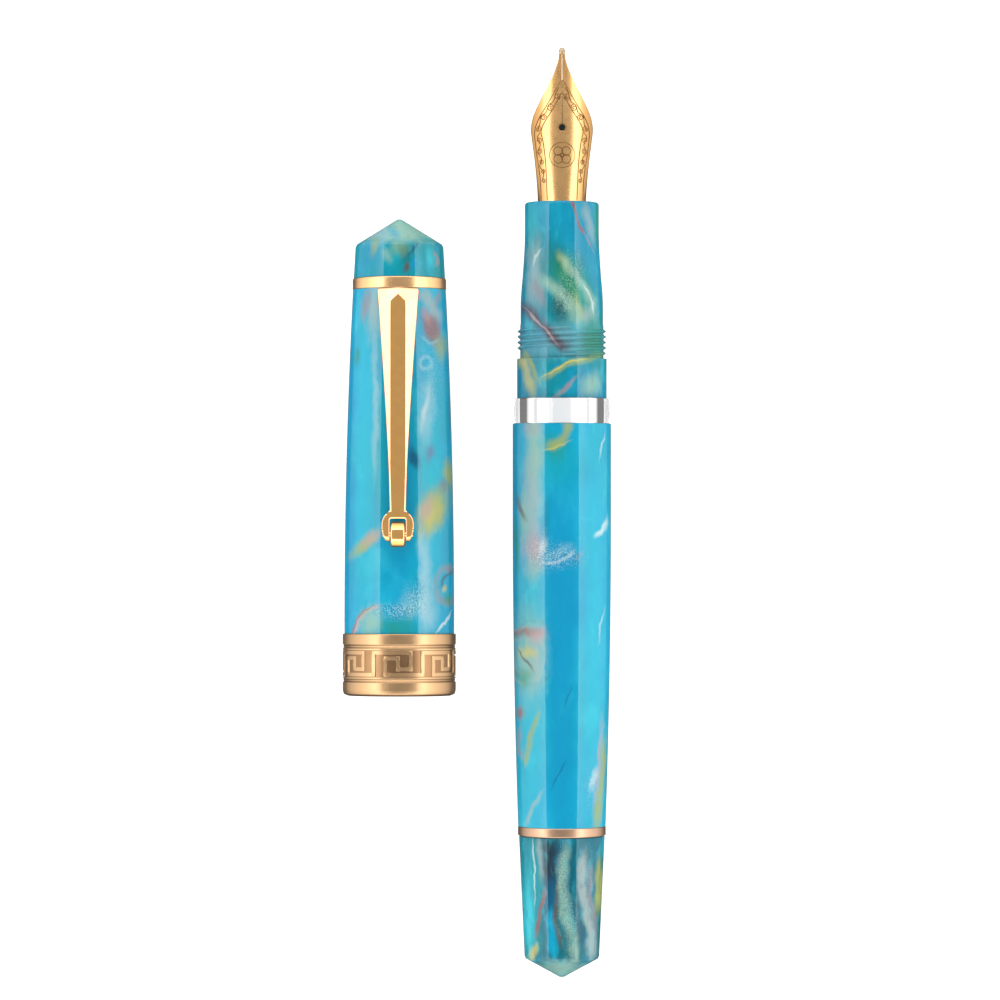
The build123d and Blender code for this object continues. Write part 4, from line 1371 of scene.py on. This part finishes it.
# the gable, its hips and the bend over the top
for ridgePoint, edgePoint, backPoint in [
    ((56.0, 1.06, 9.4), (56.6, 2.84, 8.61), (56.1, 8.15)),
    ((57.0, 0.03, 9.4), (57.1, 2.88, 8.45), (56.4, 7.8)),
    ((57.74, 0.03, 9.14), (57.62, 2.9, 8.28), (56.52, 7.5)),
    ((57.94, 0.03, 9.02), (57.8, 2.82, 8.16), (56.55, 7.4)),
    ((58.04, 0.03, 8.78), (57.96, 2.62, 7.98), (56.55, 7.3)),
    ((58.06, 0.03, 8.3), (58.02, 2.42, 7.7), (56.55, 7.24)),
    ((58.06, 0.03, 7.6), (58.04, 2.36, 7.4), (56.55, 7.2)),
]:
    loops.append(clipLoop(clipShape, ridgePoint, edgePoint, backPoint))
for (_, before), (_, after) in zip(loops, loops[1:]):
    bmesh.ops.bridge_loops(clipShape, edges=before + after)
clipShape.faces.new(loops[0][0])
clipShape.faces.new(loops[-1][0])

# the fork that carries the roller
forkHalves = [
    (21.95, 1.56),
    (22.1, 1.7),
    (22.6, 1.95),
    (23.1, 2.13),
    (23.7, 2.24),
    (24.2, 2.27),
    (24.7, 2.23),
    (25.1, 2.12),
    (25.56, 1.88),
    (26.0, 1.45),
    (26.3, 1.15),
]
forkLook = {
    "start": 21.97,
    "join": 26.3,
    "slotHalf": 1.16,
    "slotEnd": 25.22,
    "slotRounding": 0.3,
    "eyeStation": 22.95,
    "eyeHeight": 9.63,
    "eye": 1.0,
    "edge": 0.13,
}


def forkTop(station):
    # a round eye about the axle, then straight to the blade
    eye = forkLook["eyeStation"]
    if station >= eye:
        share = (station - eye) / (forkLook["join"] - eye)
        high = forkLook["eyeHeight"] + forkLook["eye"]
        return high + share * (ridgeHeight(forkLook["join"]) - 0.02 - high)
    run = min(1, (eye - station) / forkLook["eye"])
    return forkLook["eyeHeight"] + forkLook["eye"] * math.sqrt(1 - run**2)


def forkBottom(station):
    eye = forkLook["eyeStation"]
    if station >= eye:
        share = (station - eye) / (forkLook["join"] - eye)
        low = forkLook["eyeHeight"] - forkLook["eye"]
        return low + share * (ridgeHeight(forkLook["join"]) - clipLook["sheet"] - low)
    run = min(1, (eye - station) / forkLook["eye"])
    return forkLook["eyeHeight"] - forkLook["eye"] * math.sqrt(1 - run**2)


outline = []
for step in range(29):
    station = forkLook["start"] + (forkLook["join"] - forkLook["start"]) * step / 28
    outline.append((station, splineValue(forkHalves, station)))
outline += [(station, -half) for station, half in reversed(outline)]
# the slot for the roller, with rounded inner corners
outline += [(forkLook["start"], -forkLook["slotHalf"])]
rounding = forkLook["slotRounding"]
for turn in range(7):
    angle = math.pi / 2 * turn / 6
    outline.append(
        (
            forkLook["slotEnd"] - rounding + rounding * math.sin(angle),
            -forkLook["slotHalf"] + rounding - rounding * math.cos(angle),
        )
    )
outline += [(station, -half) for station, half in reversed(outline[-8:])]
forkShape = bmesh.new()
corners = [forkShape.verts.new((point[0], point[1], 0)) for point in outline]
forkShape.faces.new(corners)
raised = bmesh.ops.extrude_face_region(forkShape, geom=list(forkShape.faces), use_keep_orig=True)
for corner in raised["geom"]:
    if isinstance(corner, bmesh.types.BMVert):
        corner.co.z = 2
rimEdges = [e for e in forkShape.edges if all(v.co.z > 1 for v in e.verts)]
bmesh.ops.bevel(
    forkShape,
    geom=rimEdges,
    offset=forkLook["edge"],
    segments=1,
    profile=0.5,
    affect="EDGES",
    material=-1,
)
# cuts across the eye, closest together at its end, so that it comes out round
for step in range(1, 16):
    cut = forkLook["start"] + 1.1 * (step / 15) ** 1.6
    bmesh.ops.bisect_plane(
        forkShape,
        geom=[*forkShape.verts, *forkShape.edges, *forkShape.faces],
        dist=0.0001,
        plane_co=(cut, 0, 0),
        plane_no=(1, 0, 0),
    )
for corner in forkShape.verts:
    # the flat shape is two high
    low, high = forkBottom(corner.co.x), forkTop(corner.co.x)
    corner.co.z = low + (high - low) * corner.co.z / 2
forkMesh = bpy.data.meshes.new("forkPart")
bmesh.ops.recalc_face_normals(forkShape, faces=forkShape.faces)
forkShape.to_mesh(forkMesh)
forkShape.free()
clipShape.from_mesh(forkMesh)
bpy.data.meshes.remove(forkMesh)
bmesh.ops.recalc_face_normals(clipShape, faces=clipShape.faces)
for face in clipShape.faces:
    # the sloped faces beside and above the ridge take the second gold, a darker copy of the plate
    # gold: painted shade that tones down their highlight
    sloped = abs(face.normal.y) > 0.2 or face.normal.x > 0.15
    face.material_index = 1 if sloped and face.normal.z > 0.1 else 0
newPiece(
    "clipArm",
    clipShape,
    capPlace,
    [goldPlate, bevelShadedGold],
    "clip",
    ["clip_arm"],
    sharp=14,
)

rollerLook = {"half": 1.0, "bore": 0.38, "radius": 1.77, "rounding": 0.26}
rollerShape = lathe(
    softened(
        [
            (-rollerLook["half"], rollerLook["bore"]),
            (rollerLook["half"], rollerLook["bore"]),
            (rollerLook["half"], rollerLook["radius"], rollerLook["rounding"]),
            (-rollerLook["half"], rollerLook["radius"], rollerLook["rounding"]),
        ],
        6,
    ),
    96,
)
rollerMiddle = Matrix.Translation((forkLook["eyeStation"], 0, forkLook["eyeHeight"]))
rollerPlace = capPlace @ rollerMiddle @ Matrix.Rotation(math.pi / 2, 4, "Z")
newPiece(
    "clipRoller", rollerShape, rollerPlace, [goldPlate], "roller", ["clip_roller"]
)
print("clip made")

# Nib

nibLook = {
    "sheet": 0.35,
    "back": 98.3,
    "slit": 0.06,
    "breather": 121.65,
    "breatherRadius": 0.52,
    "tip": 132.55,
    "edge": 0.035,
    "columns": 16,
}
nibCentres = [(111.0, 0.0), (121.6, -1.9), (127.5, -2.05), (133.4, -2.25)]
nibRadii = [(111.0, 3.4), (121.6, 5.2), (127.5, 4.6), (133.4, 3.6)]
nibAngles = [(111.0, 88), (121.6, 66), (127.5, 50), (133.4, 30)]
nibHalves = [
    (98.3, 3.6),
    (109.0, 3.5),
    (111.0, 3.45),
    (116.4, 3.86),
    (119.9, 4.3),
    (121.6, 4.46),
    (123.3, 4.17),
    (125.4, 3.25),
    (128.2, 1.8),
    (130.4, 0.86),
    (131.8, 0.47),
    (132.55, 0.45),
]


def nibHeight(station, side):
    # the top of the nib's sheet
    centre = splineValue(nibCentres, station)
    radius = splineValue(nibRadii, station)
    return centre + math.sqrt(max(0.01, radius**2 - side**2))


# rows along the nib, closer at the breather hole and along the slit
breather, breatherRadius = nibLook["breather"], nibLook["breatherRadius"]
nibStations = [nibLook["back"], 101, 104, 107, 109, 110.2]
nibStations += [111 + 0.4 * step for step in range(26)]
nibStations += [
    breather - breatherRadius * math.cos(math.pi * step / 16) for step in range(17)
]
nibStations += [
    breather + breatherRadius + 0.1 + (132.45 - breather - breatherRadius) * step / 44
    for step in range(44)
]
nibStations += [nibLook["tip"]]
nibStations = sorted({round(station, 4) for station in nibStations})
nibShape = bmesh.new()
rows = []
for station in nibStations:
    radius = splineValue(nibRadii, station)
    widest = splineValue(nibHalves, station) / radius
    limit = math.radians(splineValue(nibAngles, station))
    outer = min(limit, math.asin(min(1, widest)))
    offset = station - breather
    inner = 0.0
    if abs(offset) < breatherRadius:
        inner = math.sqrt(breatherRadius**2 - offset**2)
    if offset > 0:
        # the slit closes towards the tip
        closing = 1 - 0.6 * offset / (nibLook["tip"] - breather)
        inner = max(inner, nibLook["slit"] * closing)
    inner = math.asin(inner / radius)
    row = []
    for column in range(nibLook["columns"] + 1):
        angle = inner + (outer - inner) * column / nibLook["columns"]
        side = radius * math.sin(angle)
        height = splineValue(nibCentres, station) + radius * math.cos(angle)
        row.append(nibShape.verts.new((station, side, height)))
    rows.append(row)
for before, after in zip(rows, rows[1:]):
    for column in range(nibLook["columns"]):
        nibShape.faces.new(
            (before[column], after[column], after[column + 1], before[column + 1])
        )
bmesh.ops.mirror(
    nibShape,
    geom=[*nibShape.verts, *nibShape.edges, *nibShape.faces],
    axis="Y",
    merge_dist=0.001,
)
bmesh.ops.remove_doubles(nibShape, verts=nibShape.verts, dist=0.0008)
bmesh.ops.recalc_face_normals(nibShape, faces=nibShape.faces)
upward = sum(face.normal.z for face in nibShape.faces)
if upward < 0:
    bmesh.ops.reverse_faces(nibShape, faces=nibShape.faces)
bmesh.ops.solidify(nibShape, geom=list(nibShape.faces), thickness=nibLook["sheet"])
nibRims = [
    edge
    for edge in nibShape.edges
    if len(edge.link_faces) == 2 and edge.calc_face_angle(0) > math.radians(50)
]
bmesh.ops.bevel(
    nibShape,
    geom=nibRims,
    offset=nibLook["edge"],
    segments=2,
    profile=0.5,
    affect="EDGES",
    material=-1,
)
newPiece(
    "nibSheet",
    nibShape,
    penPlace,
    [nibGold],
    "pen",
    ["nib"],
    sharp=40,
    merge=0.0004,
)

# the tipping: a small ball in two halves, parted by the slit
tipShape = bmesh.new()
bmesh.ops.create_uvsphere(
    tipShape,
    u_segments=32,
    v_segments=20,
    radius=1,
    matrix=Matrix.Translation((132.56, 0, 1.16)) @ Matrix.Diagonal((0.72, 0.46, 0.48, 1)),
)
cut = bmesh.ops.bisect_plane(
    tipShape,
    geom=[*tipShape.verts, *tipShape.edges, *tipShape.faces],
    dist=0.0001,
    plane_co=(0, 0.02, 0),
    plane_no=(0, 1, 0),
    clear_inner=True,
)
rim = [e for e in cut["geom_cut"] if isinstance(e, bmesh.types.BMEdge)]
bmesh.ops.contextual_create(tipShape, geom=rim)
bmesh.ops.mirror(
    tipShape,
    geom=[*tipShape.verts, *tipShape.edges, *tipShape.faces],
    axis="Y",
    merge_dist=0.001,
)
newPiece(
    "nibTipping", tipShape, penPlace, [tipMetal], "pen", ["nib_tipping"], sharp=40
)


def engravedLines(name, lines, radius):
    # fine drawn lines, half sunk in the nib's surface
    curve = bpy.data.curves.new(name, "CURVE")
    curve.dimensions = "3D"
    curve.bevel_depth = radius
    curve.bevel_resolution = 1
    curve.use_fill_caps = True
    for line in lines:
        spline = curve.splines.new("POLY")
        spline.points.add(len(line) - 1)
        for point, (station, side) in zip(spline.points, line):
            point.co = (station, side, nibHeight(station, side) - radius * 0.35, 1)
    drawn = bpy.data.objects.new(name, curve)
    bpy.context.scene.collection.objects.link(drawn)
    bpy.context.view_layer.update()
    ready = drawn.evaluated_get(bpy.context.evaluated_depsgraph_get())
    mesh = bpy.data.meshes.new_from_object(ready)
    shape = bmesh.new()
    shape.from_mesh(mesh)
    bpy.data.objects.remove(drawn)
    bpy.data.meshes.remove(mesh)
    return newPiece(
        name, shape, penPlace, [nibEngraved], "pen", sharp=60, merge=0.0002
    )


def smoothLine(points, count=40):
    # a smooth line through a few (station, side) points
    lengths = [0.0]
    for first, last in zip(points, points[1:]):
        lengths.append(lengths[-1] + math.dist(first, last))
    stationTable = [(length, point[0]) for length, point in zip(lengths, points)]
    sideTable = [(length, point[1]) for length, point in zip(lengths, points)]
    return [
        (
            splineValue(stationTable, lengths[-1] * step / count),
            splineValue(sideTable, lengths[-1] * step / count),
        )
        for step in range(count + 1)
    ]


def scroll(centre, start, turns, first, last, count=30):
    # a spiral that tightens from the first radius to the last
    points = []
    for step in range(count + 1):
        share = step / count
        angle = math.radians(start) + math.tau * turns * share
        radius = first + (last - first) * share
        points.append((centre[0] + radius * math.cos(angle), centre[1] + radius * math.sin(angle)))
    return points


def bothSides(lines):
    # the lines and their mirror images
    return lines + [[(station, -side) for station, side in line] for line in lines]


engravingLook = {
    "line": 0.085,
    "emblemLine": 0.065,
    "rimLine": 0.03,
    "emblemStation": 117.7,
    "emblemRadius": 1.81,
    "petals": 4,
    "petalAway": 0.8,
    "petalRadius": 0.62,
    "heartRadius": 0.3,
    "rimRadius": 0.64,
}
innerBorder = [(126.6, 0.12), (124.4, 1.25), (122.6, 2.4), (121.2, 2.98)]
innerBorder += [(119.7, 2.7), (116.5, 2.32), (113.7, 2.2), (111.3, 2.1)]
outerBorder = [(128.5, 0.12), (126.6, 1.2), (124.9, 2.15), (123.0, 3.3)]
outerBorder += [(121.4, 3.85), (118.9, 3.72), (114.5, 3.1), (111.3, 2.95)]
frontVine = [(127.4, 0.45), (126.6, 0.9), (125.4, 1.25), (124.9, 1.9)]
frontVine += [(123.8, 2.3), (123.3, 3.0), (122.2, 3.15), (121.2, 3.55)]
backVine = [(121.0, 3.1), (120.3, 3.5), (119.2, 3.1), (118.2, 3.45)]
backVine += [(117.2, 2.9), (116.2, 3.15), (115.2, 2.6), (114.0, 2.85)]
# centre, starting angle, turns, first and last radius
curls = [
    ((126.1, 0.72), 200, 1.5, 0.5, 0.1),
    ((124.5, 1.72), 20, -1.6, 0.52, 0.1),
    ((123.1, 2.62), 200, 1.6, 0.5, 0.1),
    ((121.5, 3.4), 0, -1.5, 0.44, 0.08),
    ((119.9, 3.28), 180, 1.4, 0.42, 0.08),
    ((118.3, 3.2), 0, -1.4, 0.38, 0.08),
    ((116.8, 2.95), 180, 1.4, 0.36, 0.08),
    ((115.4, 2.72), 0, -1.4, 0.32, 0.08),
    ((114.1, 2.64), 180, 1.4, 0.3, 0.08),
]
borders = bothSides([smoothLine(innerBorder), smoothLine(outerBorder)])
scrolls = bothSides(
    [*[scroll(*curl) for curl in curls], smoothLine(frontVine), smoothLine(backVine)]
)


def ring(centre, radius, count):
    return scroll(centre, 0, 1, radius, radius, count)


emblemMiddle = (engravingLook["emblemStation"], 0)
emblem = [ring(emblemMiddle, engravingLook["emblemRadius"], 56)]
for petal in range(engravingLook["petals"]):
    turn = math.radians(360 / engravingLook["petals"] * petal + 45)
    spot = (
        emblemMiddle[0] + engravingLook["petalAway"] * math.cos(turn),
        engravingLook["petalAway"] * math.sin(turn),
    )
    emblem.append(ring(spot, engravingLook["petalRadius"], 28))
emblem.append(ring(emblemMiddle, engravingLook["heartRadius"], 20))
engravedLines("nibBorders", borders, engravingLook["line"])
engravedLines("nibScrolls", scrolls, engravingLook["line"])
engravedLines("nibEmblem", emblem, engravingLook["emblemLine"])
breatherLine = ring((breather, 0), engravingLook["rimRadius"], 40)
engravedLines("breatherRim", [breatherLine], engravingLook["rimLine"])
print("nib made")

# Studio

studio = {
    "panelHigh": 5.6,
    "panelMiddle": 1.8,
    "panelLow": 0.55,
    "panelTop": 0.43,
    "panelBottom": -0.3,
    "sideAway": 0.36,
    "endAway": 0.42,
    "ceiling": 0.56,
    "below": 0.14,
    "floorGlow": 0.9,
    "floorDrop": 0.00005,
}


def glowMaterial():
    # bright along the top edge, fading downwards
    material = bpy.data.materials.new("panelGlow")
    material.use_nodes = True
    tree = material.node_tree
    tree.nodes.clear()
    spot = addNode(tree, "ShaderNodeTexCoord", {})
    height = addNode(tree, "ShaderNodeSeparateXYZ", {0: spot.outputs["Object"]}).outputs[2]
    upper = addNode(
        tree,
        "ShaderNodeMapRange",
        {
            "Value": height,
            "From Min": 0.0,
            "From Max": studio["panelTop"],
        },
    )
    rise = studio["panelHigh"] - studio["panelMiddle"]
    upper = mathNode(tree, "MULTIPLY", mathNode(tree, "POWER", upper.outputs[0], 1.8), rise)
    lower = addNode(
        tree,
        "ShaderNodeMapRange",
        {
            "Value": height,
            "From Min": studio["panelBottom"],
            "From Max": 0.0,
            "To Min": studio["panelLow"],
            "To Max": studio["panelMiddle"],
        },
    )
    strength = mathNode(tree, "ADD", upper, lower.outputs[0])
    glow = addNode(
        tree, "ShaderNodeEmission", {"Color": (1.0, 0.985, 0.96, 1), "Strength": strength}
    )
    addNode(tree, "ShaderNodeOutputMaterial", {"Surface": glow.outputs[0]})
    return material


def makePanel(name, turn, away, half):
    # an upright light that stands away from the object on one side
    shape = bmesh.new()
    bmesh.ops.create_grid(shape, x_segments=1, y_segments=1, size=1)
    middleHeight = (studio["panelTop"] + studio["panelBottom"]) / 2
    reach = (studio["panelTop"] - studio["panelBottom"]) / 2
    for corner in shape.verts:
        corner.co = (corner.co.x * half, away, middleHeight + corner.co.y * reach)
    bmesh.ops.rotate(
        shape,
        verts=shape.verts,
        cent=(0, 0, 0),
        matrix=Matrix.Rotation(math.radians(turn), 3, "Z"),
    )
    mesh = bpy.data.meshes.new(name)
    shape.to_mesh(mesh)
    shape.free()
    mesh.materials.append(panelGlow)
    panel = bpy.data.objects.new(name, mesh)
    bpy.context.scene.collection.objects.link(panel)
    panel.visible_camera = False
    panel.visible_transmission = False


panelGlow = glowMaterial()
makePanel("panelLeft", 0, studio["sideAway"], studio["endAway"])
makePanel("panelRight", 180, studio["sideAway"], studio["endAway"])
makePanel("panelHead", -90, studio["endAway"], studio["sideAway"])
makePanel("panelFoot", 90, studio["endAway"], studio["sideAway"])

# a pale floor just under the pen, out of its reflections
floorMaterial = principled("floorWhite", (0.3, 0.3, 0.3, 1), 0.0, 0.9)
floorShader = floorMaterial.node_tree.nodes["Principled BSDF"]
floorShader.inputs["Emission Color"].default_value = (1, 1, 1, 1)
floorShader.inputs["Emission Strength"].default_value = studio["floorGlow"]
floorShape = bmesh.new()
bmesh.ops.create_grid(floorShape, x_segments=1, y_segments=1, size=3)
floorMesh = bpy.data.meshes.new("floor")
floorShape.to_mesh(floorMesh)
floorShape.free()
floorMesh.materials.append(floorMaterial)
floor = bpy.data.objects.new("floor", floorMesh)
floor.location.z = -studio["floorDrop"]
bpy.context.scene.collection.objects.link(floor)
floor.visible_glossy = False
floor.visible_shadow = False

# even light from all round, darker from far below
world = bpy.data.worlds.new("studioWorld")
world.use_nodes = True
worldTree = world.node_tree
skyward = addNode(worldTree, "ShaderNodeTexCoord", {})
skyHeight = addNode(worldTree, "ShaderNodeSeparateXYZ", {0: skyward.outputs["Generated"]})
brightness = ramp(
    worldTree, skyHeight.outputs[2], -0.7, -0.5, studio["below"], studio["ceiling"]
)
worldTree.links.new(brightness, worldTree.nodes["Background"].inputs["Strength"])
worldTree.nodes["Background"].inputs["Color"].default_value = (1, 1, 1, 1)
bpy.context.scene.world = world

# Camera: straight above, the pen's axis pointing up the picture

cameraLook = {"centre": (0.0018, -0.0033, 0.007), "distance": 0.65, "width": 0.1435}
lens = bpy.data.cameras.new("camera")
lens.sensor_width = 36
lens.lens = 36 * cameraLook["distance"] / cameraLook["width"]
camera = bpy.data.objects.new("camera", lens)
camera.location = Vector(cameraLook["centre"]) + Vector((0, 0, cameraLook["distance"]))
camera.rotation_euler = (0, 0, -math.pi / 2)
bpy.context.scene.collection.objects.link(camera)
bpy.context.scene.camera = camera
bpy.context.scene.view_settings.view_transform = "Standard"
print("studio made")
